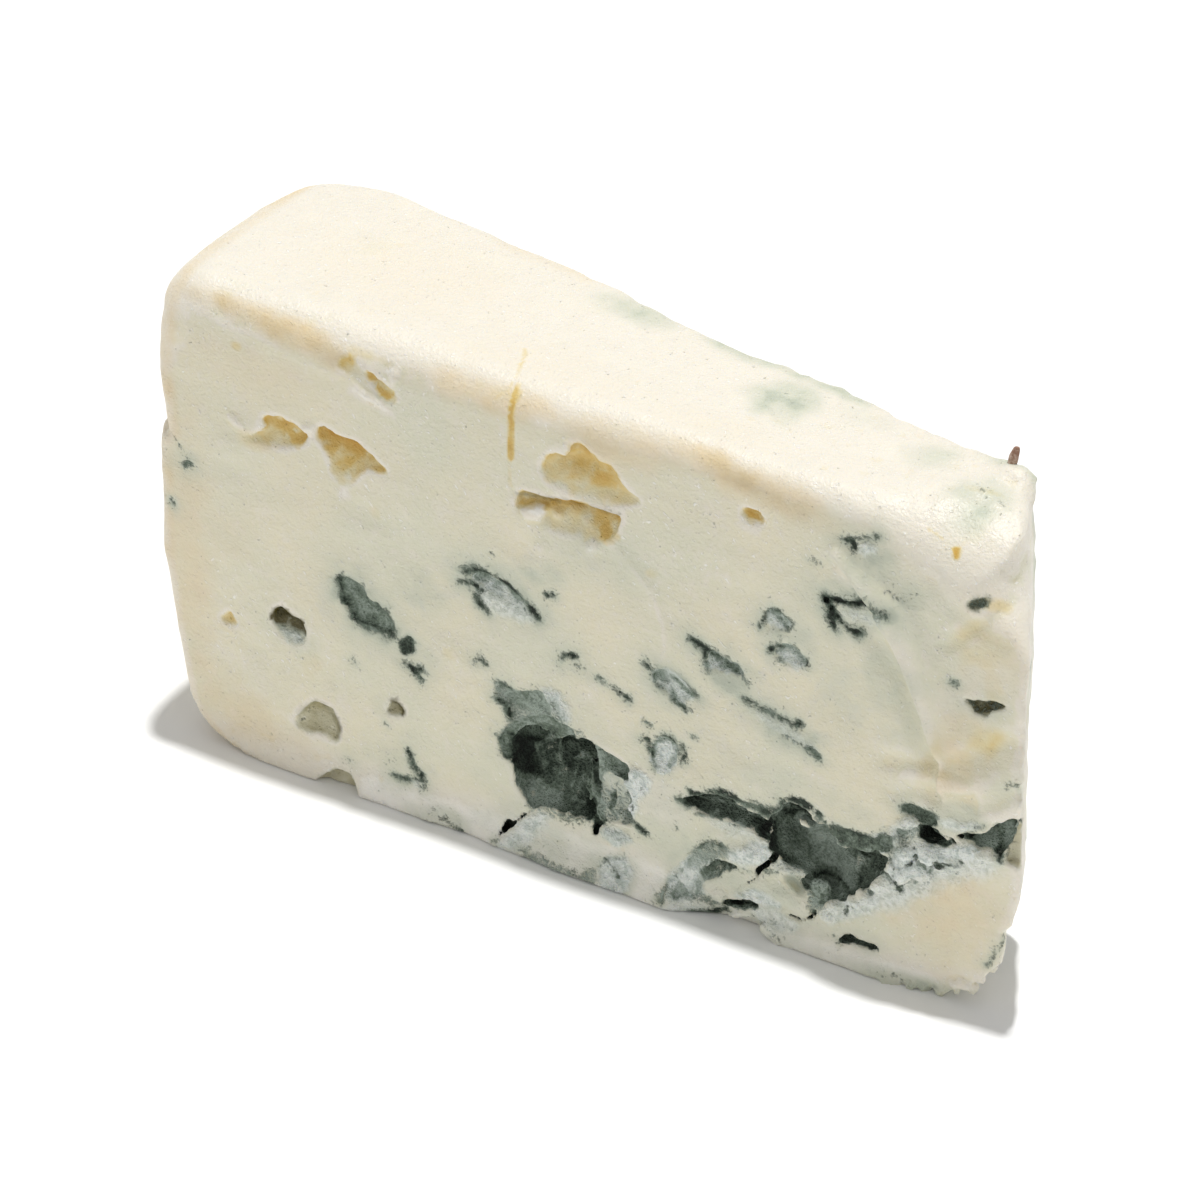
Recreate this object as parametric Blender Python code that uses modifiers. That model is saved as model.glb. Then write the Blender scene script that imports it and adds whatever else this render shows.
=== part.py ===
"""A wedge of blue-veined sheep's milk cheese, standing on its cut base.

The wedge is one solid. X runs along the big front cut face from the rind end
to the blunt tip, Y runs into the wedge, Z is up. The origin is at the centre
of the base. A coarse cage with Subdivision Surface gives the body, and a
Boolean cuts the mould pockets and the eyes of the cheese.
"""

import math

import bmesh
import bpy
from mathutils import Vector, noise

MM = 0.001

# The body, in millimetres.
LENGTH = 96.0
HEIGHT = 53.2
RIND_THICKNESS = 25.1
TIP_THICKNESS = 11.3
BACK_STARTS = 1.3          # the back face starts this far from the rind end
BACK_ENDS = 5.6            # and ends this far before the tip, so the tip end slants

# Radii of the body's rounded edges, in millimetres.
RIND_TOP_RADIUS = 6.0
RIND_BASE_RADIUS = 10.0
TIP_TOP_RADIUS = 1.6
TIP_BASE_RADIUS = 8.0
TOP_FRONT_RADIUS = 5.5
TOP_BACK_RADIUS = 2.4
BASE_EDGE_RADIUS = 1.0
RIND_BACK_RADIUS = 4.5
UPRIGHT_RADIUS = 1.4

# The cage's planes, as a share of the length, the thickness and the height.
CAGE_X = (0.03, 0.12, 0.32, 0.54, 0.76, 0.92, 0.98)
CAGE_Y = (0.12, 0.88)
CAGE_Z = (0.04, 0.17, 0.38, 0.62, 0.85, 0.96)

# The base is one straight cut: the body is this much taller before it, in millimetres.
BASE_CUT = 0.6

# The paste is uneven: how far, over what distance, and from what height on.
WAVE_DEPTH = 0.45
WAVE_LENGTH = 17.0
WAVE_STARTS_AT = 3.0
WAVE_OFFSETS = (Vector((3.1, 0.7, 5.3)), Vector((9.4, 4.2, 1.9)), Vector((2.6, 8.8, 7.5)))

# How far a cutter's surface wanders, as a share of its radius.
POCKET_ROUGHNESS = 0.22

# Openings, in millimetres: x from the rind end, z from the base, half length,
# half height, depth, tilt in degrees and the cutter's fineness.
FRONT_OPENINGS = {
    "mould_pocket_a": (45.0, 10.6, 5.6, 5.3, 8.0, 0, 3),
    "mould_pocket_a_fold": (51.0, 11.6, 3.8, 3.8, 4.2, -10, 3),
    "mould_pocket_b": (74.8, 11.6, 6.6, 4.9, 6.8, -8, 3),
    "mould_pocket_b_left": (65.0, 13.3, 6.0, 1.7, 4.0, 0, 2),
    "mould_pocket_b_right": (86.5, 18.6, 3.6, 1.9, 4.0, 15, 2),
    "mould_pocket_tip": (94.0, 21.0, 2.6, 2.3, 4.0, 30, 2),
    "mould_slit_low": (62.0, 6.0, 3.0, 1.2, 2.6, 50, 2),
    "mould_slit_base": (66.6, 2.9, 2.1, 0.8, 2.6, 25, 2),
    "mould_slit_tip": (79.1, 3.2, 2.2, 0.8, 2.4, -4, 2),
    "mould_arc": (38.6, 29.7, 4.4, 1.2, 2.0, -15, 2),
    "mould_oval": (57.7, 25.6, 2.9, 1.8, 2.0, -28, 2),
    "mould_horseshoe": (57.8, 17.8, 2.2, 2.2, 2.0, 0, 2),
    "mould_long": (63.2, 30.1, 2.9, 1.2, 2.0, -25, 2),
    "mould_triangle": (69.7, 36.8, 1.7, 1.3, 1.6, -15, 2),
    "mould_arch": (71.0, 33.6, 1.9, 1.3, 1.6, 0, 2),
    "mould_slit_upper": (92.2, 35.3, 2.3, 0.9, 1.8, 10, 2),
    "eye_wide": (49.0, 46.8, 4.9, 2.1, 4.2, -8, 2),
    "eye_slot": (47.0, 41.3, 5.4, 1.4, 4.0, 2, 2),
    "eye_wing": (21.8, 39.8, 4.2, 1.7, 3.4, -12, 2),
    "eye_oval": (14.0, 39.6, 3.2, 1.2, 2.4, -3, 2),
    "eye_slant": (25.4, 48.6, 2.4, 1.1, 2.8, -15, 2),
    "eye_small": (66.6, 47.5, 1.2, 0.9, 2.4, 0, 2),
    "eye_brown": (14.0, 17.5, 1.9, 1.7, 3.0, 0, 2),
    "eye_low": (17.8, 7.3, 2.3, 2.1, 3.0, 25, 2),
    "eye_olive": (26.8, 11.7, 1.2, 1.0, 2.0, 0, 2),
    "base_notch": (20.0, 0.3, 2.7, 1.9, 3.0, 0, 2),
}
BACK_OPENINGS = {
    "back_mould_pocket": (58.0, 30.0, 5.4, 3.6, 4.2, 20, 3),
    "back_mould_pocket_fold": (65.0, 33.0, 4.0, 1.6, 3.0, 24, 2),
    "back_mould_long": (36.0, 20.0, 5.0, 1.5, 3.0, -18, 2),
    "back_mould_low": (72.0, 13.0, 4.0, 2.2, 3.0, 8, 2),
    "back_eye_wide": (30.0, 40.0, 4.4, 1.8, 3.6, -6, 2),
    "back_eye_round": (16.0, 28.0, 2.2, 1.9, 3.0, 0, 2),
    "back_eye_low": (22.0, 9.0, 2.4, 1.6, 2.8, 12, 2),
}

# Colour (linear), roughness and metallic value of the paste.
PASTE_COLOUR = (0.69, 0.62, 0.50, 1.0)
PASTE_ROUGHNESS = 0.5


def clear_scene():
    """Remove what the new file holds."""
    for item in list(bpy.data.objects):
        bpy.data.objects.remove(item, do_unlink=True)


def new_collection(name):
    """Add a collection to the scene."""
    collection = bpy.data.collections.new(name)
    bpy.context.scene.collection.children.link(collection)
    return collection


def move_to(item, collection):
    """Leave an object in one collection only."""
    for other in list(item.users_collection):
        other.objects.unlink(item)
    collection.objects.link(item)


def smooth_step(value):
    """Ease from 0 to 1."""
    value = min(max(value, 0.0), 1.0)
    return value * value * (3.0 - 2.0 * value)


def back_line(share):
    """Return the front-to-back thickness at a share of the length, in mm."""
    return RIND_THICKNESS + (TIP_THICKNESS - RIND_THICKNESS) * share


def pull_to_arc(u, v, radius):
    """Pull a point that lies outside a rounded corner onto the corner's arc.

    u and v are the point's distances into the body from the corner's two sides.
    """
    if u >= radius or v >= radius:
        return u, v
    reach = math.hypot(radius - u, radius - v)
    if reach <= radius:
        return u, v
    return radius - (radius - u) * radius / reach, radius - (radius - v) * radius / reach


def shape_cage_point(share_x, share_y, share_z):
    """Place a point of the unit cage on the wedge, in mm from the front corner."""
    x, z = share_x * LENGTH, share_z * HEIGHT
    thickness = back_line(share_x)
    y = share_y * thickness

    # Length against height: the rind end and the tip end.
    x, z = pull_to_arc(x, z, RIND_BASE_RADIUS)
    x, top = pull_to_arc(x, HEIGHT - z, RIND_TOP_RADIUS)
    tip, top = pull_to_arc(LENGTH - x, top, TIP_TOP_RADIUS)
    z = HEIGHT - top
    tip, z = pull_to_arc(tip, z, TIP_BASE_RADIUS)
    x = LENGTH - tip

    # Thickness against height: the long edges, softer at the rind end.
    front_radius = TOP_FRONT_RADIUS + (UPRIGHT_RADIUS - TOP_FRONT_RADIUS) * smooth_step(share_x * 1.2 - 0.2)
    y, top = pull_to_arc(y, HEIGHT - z, front_radius)
    back, top = pull_to_arc(thickness - y, top, TOP_BACK_RADIUS)
    z = HEIGHT - top
    back, z = pull_to_arc(back, z, BASE_EDGE_RADIUS)
    y, z = pull_to_arc(thickness - back, z, BASE_EDGE_RADIUS)

    # Length against thickness: the upright edges.
    x, y = pull_to_arc(x, y, UPRIGHT_RADIUS)
    x, back = pull_to_arc(x, thickness - y, RIND_BACK_RADIUS)
    y = thickness - back
    tip, y = pull_to_arc(LENGTH - x, y, UPRIGHT_RADIUS)
    tip, back = pull_to_arc(tip, thickness - y, UPRIGHT_RADIUS)
    x, y = LENGTH - tip, thickness - back

    # The ends slant in plan.
    x += (y / RIND_THICKNESS) * BACK_STARTS * (1.0 - share_x)
    x -= (y / TIP_THICKNESS) * BACK_ENDS * share_x
    return Vector((x, y, z))


def wave(point):
    """Return the paste's slow unevenness at a point, in mm."""
    rise = smooth_step(point.z / WAVE_STARTS_AT - 0.2)
    shifts = [noise.noise(point / WAVE_LENGTH + offset) for offset in WAVE_OFFSETS]
    return Vector(shifts) * WAVE_DEPTH * rise


def to_part(point):
    """Turn mm from the front corner into metres from the centre of the base."""
    return Vector((point.x - LENGTH / 2, point.y - RIND_THICKNESS / 2, point.z)) * MM


def fit_to_size(body):
    """Scale the cage so that the rounded body has its full size before the base cut.

    Subdivision pulls the surface in from its cage, so the body is measured as
    it evaluates.
    """
    depsgraph = bpy.context.evaluated_depsgraph_get()
    rounded = body.evaluated_get(depsgraph)
    points = [vertex.co.copy() for vertex in rounded.data.vertices]
    lowest = (-LENGTH / 2, -RIND_THICKNESS / 2, -BASE_CUT)
    for axis, size in enumerate((LENGTH, RIND_THICKNESS, HEIGHT + BASE_CUT)):
        low = min(point[axis] for point in points)
        high = max(point[axis] for point in points)
        stretch = size * MM / (high - low)
        for vertex in body.data.vertices:
            vertex.co[axis] = (vertex.co[axis] - low) * stretch + lowest[axis] * MM


def make_body(collection):
    """Model the uncut wedge: a cage of planes with Subdivision Surface."""
    cage = bmesh.new()
    bmesh.ops.create_cube(cage, size=1.0)
    bmesh.ops.translate(cage, verts=cage.verts, vec=(0.5, 0.5, 0.5))
    for axis, shares in enumerate((CAGE_X, CAGE_Y, CAGE_Z)):
        normal = [0.0, 0.0, 0.0]
        normal[axis] = 1.0
        for share in shares:
            place = [n * share for n in normal]
            geometry = cage.verts[:] + cage.edges[:] + cage.faces[:]
            bmesh.ops.bisect_plane(cage, geom=geometry, plane_co=place, plane_no=normal, dist=1e-6)
    for vertex in cage.verts:
        point = shape_cage_point(*vertex.co)
        vertex.co = to_part(point + wave(point))
    mesh = bpy.data.meshes.new("cheese_wedge")
    cage.to_mesh(mesh)
    cage.free()
    body = bpy.data.objects.new("cheese_wedge", mesh)
    collection.objects.link(body)
    rounding = body.modifiers.new("Rounding", "SUBSURF")
    rounding.levels = 2
    rounding.render_levels = 2
    fit_to_size(body)
    return body


def make_cutter(name, opening, on_back, collection):
    """Make one opening's cutter: a lumpy ellipsoid centred on the cut face."""
    x, z, half_length, half_height, depth, tilt, fineness = opening
    share = x / LENGTH
    y = back_line(share) if on_back else 0.0
    bpy.ops.mesh.primitive_ico_sphere_add(subdivisions=fineness, radius=1.0)
    cutter = bpy.context.object
    cutter.name = name
    for vertex in cutter.data.vertices:
        lump = noise.noise(vertex.co * 1.6 + Vector((x, z, depth)))
        vertex.co *= 1.0 + POCKET_ROUGHNESS * lump
        vertex.co = Vector((vertex.co.x * half_length, vertex.co.y * depth, vertex.co.z * half_height)) * MM
    cutter.location = to_part(Vector((x, y, z)))
    cutter.rotation_euler = (0.0, -math.radians(tilt), 0.0)
    cutter.display_type = "WIRE"
    cutter.hide_render = True
    move_to(cutter, collection)
    return cutter


def make_base_knife(collection):
    """Make the block that cuts the base flat at Z = 0."""
    bpy.ops.mesh.primitive_cube_add(size=1.0)
    knife = bpy.context.object
    knife.name = "base_knife"
    size = Vector((LENGTH * 1.5, RIND_THICKNESS * 2.0, BASE_CUT * 10.0)) * MM
    for vertex in knife.data.vertices:
        vertex.co *= size
    knife.location = (0.0, 0.0, -size.z / 2)
    knife.display_type = "WIRE"
    knife.hide_render = True
    move_to(knife, collection)


def cut_openings(body, collection):
    """Cut the base, every pocket and every eye out of the body with one Boolean."""
    make_base_knife(collection)
    for name, opening in FRONT_OPENINGS.items():
        make_cutter(name, opening, False, collection)
    for name, opening in BACK_OPENINGS.items():
        make_cutter(name, opening, True, collection)
    cut = body.modifiers.new("Openings", "BOOLEAN")
    cut.operation = "DIFFERENCE"
    cut.solver = "EXACT"
    cut.operand_type = "COLLECTION"
    cut.collection = collection


def paste_material():
    """Ivory paste, damp but not glossy."""
    material = bpy.data.materials.new("ivory_cheese_paste")
    material.use_nodes = True
    shader = material.node_tree.nodes["Principled BSDF"]
    shader.inputs["Base Color"].default_value = PASTE_COLOUR
    shader.inputs["Roughness"].default_value = PASTE_ROUGHNESS
    shader.inputs["Metallic"].default_value = 0.0
    return material


def main():
    clear_scene()
    parts = new_collection("blue_cheese_wedge")
    cutters = new_collection("cutters")
    body = make_body(parts)
    body.data.materials.append(paste_material())
    cut_openings(body, cutters)


main()
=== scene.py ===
import math

import bpy
import numpy as np
import openvdb
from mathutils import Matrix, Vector


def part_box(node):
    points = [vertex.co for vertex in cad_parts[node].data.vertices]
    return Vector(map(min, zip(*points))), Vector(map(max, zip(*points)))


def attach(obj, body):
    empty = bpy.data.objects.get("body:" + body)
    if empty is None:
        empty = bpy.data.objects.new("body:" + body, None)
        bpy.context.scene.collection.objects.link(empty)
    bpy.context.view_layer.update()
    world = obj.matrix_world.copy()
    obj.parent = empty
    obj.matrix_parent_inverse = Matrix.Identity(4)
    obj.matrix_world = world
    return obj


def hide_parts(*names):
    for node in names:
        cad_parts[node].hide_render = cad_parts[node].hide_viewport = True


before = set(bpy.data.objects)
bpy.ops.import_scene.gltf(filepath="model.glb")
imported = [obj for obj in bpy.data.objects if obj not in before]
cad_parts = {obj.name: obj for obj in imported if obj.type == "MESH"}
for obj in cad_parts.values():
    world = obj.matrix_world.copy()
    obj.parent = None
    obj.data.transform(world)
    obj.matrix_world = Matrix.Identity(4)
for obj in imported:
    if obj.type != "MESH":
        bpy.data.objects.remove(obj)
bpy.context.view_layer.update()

# Blue cheese wedge. Lengths are in mm unless a name ends in M. On the cheese, x runs from
# the rind end along the big cut face, d goes in from that face, z is up from the base.
mm = 0.001
lookSlant = (0.61, 0.77)
boxLow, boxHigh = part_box("cheese_wedge")
lengthMm, rindThickMm, heightMm = [float(side) / mm for side in (boxHigh - boxLow)]

body = {
    "gridMm": 0.3,     # how finely the field is worked out
    "facesKept": 190000,
    "tipThickMm": 11.3,
    "backStartMm": 1.3,      # the back face is shorter than the front one at both ends
    "backEndMm": 5.6,
    "topFrontRadiusMm": (3.8, 2.4),
    "tipRounderMm": 4.4,     # and that front edge is this much rounder at the tip
    "edgeRadiusMm": 0.7,
    "topRadiusMm": 5.0,
    "backRadiusMm": 0.9,
    "rindBowMm": 2.4,        # the rind end bulges this far half-way through
    "fullerMm": 0.7,         # the back stands this much fuller than its straight cut
}
# where the rind end's front edge stands at each height, and the tip's
rindLine = ((0, 11), (0.3, 7.5), (1.2, 4.8), (2.6, 3.3), (4.6, 2.2), (8, 1.6), (12, 1), (17, 0.4), (21, -0.3),
    (34.6, -0.2), (35.2, 0.7), (38, 0.4), (41, 0.05), (45, -0.1), (49, 0.1), (54, 0.7))
tipLine = ((0, 84), (0.8, 87.5), (1.9, 90.5), (3.2, 92.6), (6, 94.6), (8.6, 95), (9.6, 94.8), (10.6, 95.7),
    (14, 96.2), (18, 96.4), (26, 96.2), (42, 96.4), (50, 95.9), (54, 95.4))


# small helpers: colour, easing and smooth noise

def srgb(hexColour):
    # '#rrggbb' to linear RGBA
    values = [int(hexColour[i:i + 2], 16) / 255 for i in (1, 3, 5)]
    linear = [v / 12.92 if v <= 0.04045 else ((v + 0.055) / 1.055) ** 2.4 for v in values]
    return (*linear, 1.0)


def ease(value, low=0.0, high=1.0):
    # 0 below low, 1 above high, smooth between them
    share = np.clip((value - low) / (high - low), 0.0, 1.0)
    return share * share * (3.0 - 2.0 * share)


noiseBlock = np.random.default_rng(41).uniform(-1, 1, (32, 32, 32)).astype(np.float32)


def noiseAt(x, d, z, gapMm, seed=0):
    # smooth random values in -1..1, in lumps gapMm apart
    corners = []
    for value, shift in ((x, 7.31), (d, 3.97), (z, 11.73)):
        place = np.asarray(value, dtype=np.float32) / gapMm + seed * shift
        low = np.floor(place).astype(np.int64)
        part = place - low
        corners.append((low % 32, (low + 1) % 32, (part * part * (3 - 2 * part)).astype(np.float32)))
    (xa, xb, fx), (da, db, fd), (za, zb, fz) = corners
    near = noiseBlock[xa, da, za] * (1 - fx) + noiseBlock[xb, da, za] * fx
    far = noiseBlock[xa, db, za] * (1 - fx) + noiseBlock[xb, db, za] * fx
    lower = near * (1 - fd) + far * fd
    near = noiseBlock[xa, da, zb] * (1 - fx) + noiseBlock[xb, da, zb] * fx
    far = noiseBlock[xa, db, zb] * (1 - fx) + noiseBlock[xb, db, zb] * fx
    upper = near * (1 - fd) + far * fd
    return lower * (1 - fz) + upper * fz


def layeredNoise(x, d, z, gapMm, layers, seed=0):
    # finer and finer noise, each layer half as wide and half as strong, turned a little
    total = 0.0
    strength = 1.0
    for layer in range(layers):
        total = total + strength * noiseAt(x, d, z, gapMm, seed + layer)
        x, z = 0.8 * x + 0.6 * z, 0.8 * z - 0.6 * x
        gapMm = gapMm / 2
        strength = strength / 2
    return total


# outlines on a face: points (x, z) in mm

def softened(points, closed=True, rounds=2):
    # cut the corners of an outline, as many times as rounds
    path = np.array(points, dtype=np.float32)
    for _ in range(rounds):
        after = np.roll(path, -1, axis=0) if closed else path[1:]
        before = path if closed else path[:-1]
        cut = np.empty((len(after) * 2, 2), dtype=np.float32)
        cut[0::2] = before * 0.75 + after * 0.25
        cut[1::2] = before * 0.25 + after * 0.75
        path = cut if closed else np.vstack([path[:1], cut, path[-1:]])
    return path


def outlineDistance(x, z, path, closed=True):
    # distance to an outline in mm, negative inside a closed one
    nearest = np.full(np.broadcast(x, z).shape, 1e6, dtype=np.float32)
    inside = np.zeros(nearest.shape, dtype=bool)
    count = len(path) if closed else len(path) - 1
    for i in range(count):
        (ax, az), (bx, bz) = path[i], path[(i + 1) % len(path)]
        ex, ez = bx - ax, bz - az
        px, pz = x - ax, z - az
        along = np.clip((px * ex + pz * ez) / max(ex * ex + ez * ez, 1e-9), 0, 1)
        nearest = np.minimum(nearest, (px - ex * along) ** 2 + (pz - ez * along) ** 2)
        if closed and az != bz:
            inside ^= ((az > z) != (bz > z)) & (x < ax + (z - az) * ex / ez)
    return np.where(inside, -np.sqrt(nearest), np.sqrt(nearest))


def roundMax(a, b, radius):
    # the larger of two distances, with a rounded edge where they meet
    return np.minimum(np.maximum(a, b), -radius) + np.hypot(np.maximum(a + radius, 0), np.maximum(b + radius, 0))


def roundMin(a, b, radius):
    return -roundMax(-a, -b, radius)


def thicknessAt(x):
    return rindThickMm + body["fullerMm"] + (body["tipThickMm"] - rindThickMm) * np.clip(x / lengthMm, 0, 1)


def rindEdgeAt(z):
    heights, edges = np.array(rindLine).T
    reach = 0.25 + 1.6 * ease(z, 38, 44)
    drawn = [np.interp(z + reach * step, heights, edges) for step in (-1.0, -0.5, 0.0, 0.5, 1.0)]
    return (sum(drawn) / 5).astype(np.float32)


def tipEdgeAt(z):
    heights, edges = np.array(tipLine).T
    return np.interp(z, heights, edges).astype(np.float32)


# how the knife and the cheese's own softness left each face: mm inwards

# ridges (rise above 0) and grooves that the blade dragged up on the cut face: line, width, rise in mm
creases = {
    "shoulderLip": ([(5, 50.6), (8, 49.6), (12, 49.9), (16, 48.9), (21, 48.6)], 0.5, 0.06),
    "longRidge": ([(76, 46.5), (80, 42.6), (83.4, 37.5), (85.8, 32.4), (87.6, 27.6), (87.8, 24)], 0.7, 0.42),
    "longGroove": ([(79, 40.6), (82.4, 35.6), (84.6, 31), (86.2, 26.6)], 1.3, -0.4),
    "sideRidge": ([(84, 24.6), (88, 25.4), (92, 26), (96, 28)], 0.8, 0.22),
    "sideGroove": ([(82, 21.6), (86, 23.4), (90.6, 24.2)], 0.9, -0.2),
    "tanGroove": ([(82, 25.4), (86, 26.4), (90, 28.6), (95, 32)], 1, -0.35),
    "tanRidge": ([(88, 24.8), (92, 27), (96, 29.6)], 0.9, 0.3),
    "edgeGroove": ([(88, 40.4), (91, 43.6), (94, 46.6)], 0.7, -0.25),
    "upperGroove": ([(86, 47), (90, 43.8), (94, 42.6)], 0.9, -0.18),
    "middleRidge": ([(47, 41.2), (53, 38.2), (57, 33.4), (57.6, 28.6), (55.4, 24.8)], 0.6, 0.14),
    "lowRidge": ([(16.6, 15), (18.6, 11), (19.8, 7)], 1.2, 0.08),
    "tearLip": ([(86, 21.9), (90, 21.4), (93, 23), (96, 25.4)], 0.6, 0.25),
}
# flaps the blade pressed over: their left edge as x at each height, how far they run on, rise in mm
flaps = {
    "longFlap": ([(22, 87.9), (27.6, 87.6), (32.4, 85.8), (37.5, 83.4), (42.6, 80), (46.5, 76)], 6, 1),
    "innerFlap": ([(18, 91.6), (24, 92.2), (30, 91.2)], 3, 0.25),
}


def frontRelief(x, z):
    # slow swells, the blade's drag lines and broken grain, then the foot, the creases and the flaps
    across = z * math.cos(0.24) - x * math.sin(0.24)
    along = x * math.cos(0.24) + z * math.sin(0.24)
    relief = 0.3 * noiseAt(x, 0, z, 15.0, 3) + 0.14 * noiseAt(x, 0, z, 6.0, 4)
    drag = 0.02 * noiseAt(along / 4, 0, across, 1.2, 5)
    broken = ease(noiseAt(x, 1, z, 8.0, 9), -0.3, 0.5)
    crumbly = (0.035 + 0.085 * broken) * layeredNoise(x, 1, z, 2.6, 4, 7)
    # the foot is pressed out along most of the base, and set back from 61 to 70 mm
    foot = (0.8 * ease(x, 4, 10) + 0.8 * ease(x, 34, 46)) * ease(-z, -3.5, 0.5) * ease(-x, -62, -58)
    foot = foot + 0.9 * ease(-z, -3.0, 0.5) * ease(x, 68.5, 70.6) * ease(-x, -86, -80)
    lifted = 1.2 * ease(-z, -3.0, 0.5) * ease(x, 61, 65) * ease(-x, -69.6, -67)
    relief = relief + drag + crumbly - foot + lifted
    for path, widthMm, riseMm in creases.values():
        wander = 0.35 * noiseAt(x, 2, z, 3.0, 8)
        away = outlineDistance(x + wander, z + wander, softened(path, False, 1), False)
        relief = relief - riseMm * np.exp(-(away / widthMm) ** 2)
    for line, widthMm, riseMm in flaps.values():
        heights, edges = np.array(line).T
        beyond = x - np.interp(z, heights, edges) + 0.3 * noiseAt(x, 2, z, 3.0, 8)
        reach = ease(z, heights[0] - 3, heights[0] + 5) * ease(-z, -heights[-1] - 2, -heights[-1] + 4)
        relief = relief - riseMm * reach * ease(beyond, -0.5, 0.2) * ease(-beyond, -widthMm, -0.2)
    return relief


def backRelief(x, z):
    # swells, fuller towards the rind end's top, with a ragged upper rim and drag lines
    across = z * math.cos(0.3) + x * math.sin(0.3)
    along = x * math.cos(0.3) - z * math.sin(0.3)
    relief = 0.3 * noiseAt(x, 5, z, 13.0, 13) + 0.1 * noiseAt(x, 5, z, 5.0, 14)
    relief = relief - 0.8 * ease(x, 2, 12) * ease(-x, -48, -30) * ease(z, 32, 50)
    rim = ease(z, 46, 52) * ease(x, 20, 60) * (0.4 * noiseAt(x, 5, z, 3.4, 17) + 0.25 * noiseAt(x, 5, z, 1.5, 18))
    relief = relief + rim + 0.04 * noiseAt(along / 9, 0, across, 1.4, 15)
    return relief + 0.02 * noiseAt(along / 7, 0, across, 0.6, 16)


def topRelief(x, d):
    # a rounded, finely grained top that is worn rougher towards the tip
    tipWear = ease(x, 50, 92)
    relief = 0.16 * noiseAt(x, d, 0, 12.0, 23) + 0.1 * noiseAt(x, d, 0, 4.0, 24)
    relief = relief - 0.45 * ease(d, 8, 20) * ease(x, 3, 12) * ease(-x, -52, -34)
    grain = 0.05 * noiseAt(x, d, 0, 1.5, 25) + 0.03 * noiseAt(x, d, 0, 0.8, 26)
    return relief + grain + tipWear * (0.34 * noiseAt(x, d, 0, 2.6, 27) + 0.2 * noiseAt(x, d, 0, 1.2, 28))


def onFace(face, x, d, z):
    # the two lengths in which a face's outlines are drawn, and how deep under that face a place lies
    if face == "front":
        return x, z, d - frontRelief(x, z)
    if face == "back":
        return x, z, thicknessAt(x) - backRelief(x, z) - d
    if face == "tip":
        return d, z, tipEdgeAt(z) - body["backEndMm"] * d / body["tipThickMm"] - x
    if face == "rind":
        return d, z, x - rindEdgeAt(z) - body["backStartMm"] * d / thicknessAt(x)
    if face == "top":
        return x, d, heightMm - topRelief(x, d) - z
    return x, d, z


def asSeen(x, z, depth):
    # marks are drawn as they look from the front, above and right: what lies deeper shows further
    # right and higher up on the face
    return x + lookSlant[0] * depth, z + lookSlant[1] * depth


def makeGrid():
    step = body["gridMm"]
    return {
        "x": np.arange(-4.2, lengthMm + 1.8, step, dtype=np.float32)[:, None, None],
        "d": np.arange(-2.7, rindThickMm + 2.7, step, dtype=np.float32)[None, :, None],
        "z": np.arange(-0.9, heightMm + 1.8, step, dtype=np.float32)[None, None, :],
    }


def bodyField(grid):
    # distance to the uncut wedge's surface, negative inside
    x, d, z = grid["x"], grid["d"], grid["z"]
    thick = thicknessAt(x)
    slant = d / thick
    rindEdge, tipEdge = rindEdgeAt(z), tipEdgeAt(z)
    bow = body["rindBowMm"] * ((2 * d / rindThickMm - 1) ** 4 - 1)
    rindEnd = rindEdge + bow + body["backStartMm"] * slant - x + 0.12 * noiseAt(0, d, z, 3.0, 31)
    rindEnd = rindEnd + 0.07 * noiseAt(0, d, z, 1.2, 32)
    tear = 0.22 * noiseAt(90, d, z, 3.4, 33) + 0.12 * noiseAt(90, d, z, 1.4, 34)
    tipEnd = (x - tipEdge + body["backEndMm"] * d / body["tipThickMm"]) * 0.9 + tear
    front = frontRelief(x, z) - d
    back = (d - thick + backRelief(x, z)) * 0.99
    top = z - heightMm + topRelief(x, d)
    side = roundMax(rindEnd, top, body["topRadiusMm"])
    side = roundMax(side, tipEnd, 1.2)
    leftRadius, rightRadius = body["topFrontRadiusMm"]
    upper = ease(z, heightMm - 12, heightMm - 5)
    edge = body["edgeRadiusMm"]
    shoulder = leftRadius + (rightRadius - leftRadius) * ease(x, 15, 80) + body["tipRounderMm"] * ease(x, 76, 92)
    frontRadius = edge + (shoulder - edge) * upper
    side = roundMax(side, front, frontRadius)
    backCorner = body["backRadiusMm"] + 2.2 * ease(-x, -12, -2)
    side = roundMax(side, back, backCorner)
    return roundMax(side, -z, 0.35).astype(np.float32)


def meshFromField(grid, field, name):
    step = body["gridMm"]
    volume = openvdb.FloatGrid(2.0)
    volume.copyFromArray(np.clip(field / step, -2.0, 2.0))
    points, triangles, quads = volume.convertToPolygons(isovalue=0.0, adaptivity=0.0)
    origin = np.array([grid["x"].min(), grid["d"].min(), grid["z"].min()])
    points = (points * step + origin) * mm + np.array(boxLow)
    mesh = bpy.data.meshes.new(name)
    mesh.from_pydata(points.tolist(), [], triangles.tolist() + quads.tolist())
    mesh.shade_smooth()
    piece = bpy.data.objects.new(name, mesh)
    bpy.context.scene.collection.objects.link(piece)
    print("cheese surface:", len(points), "points")
    return piece


def pointsOf(mesh):
    flat = np.empty(len(mesh.vertices) * 3, dtype=np.float32)
    mesh.vertices.foreach_get("co", flat)
    return flat.reshape(-1, 3)


def cheesePoints(mesh):
    # a mesh's points as x, d, z in mm
    places = (pointsOf(mesh) - np.array(boxLow, dtype=np.float32)) / mm
    return places[:, 0], places[:, 1], places[:, 2]


def named(keys, rows):
    # a table's rows, each value under its key
    return {name: dict(zip(keys, row)) for name, row in rows.items()}


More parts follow.
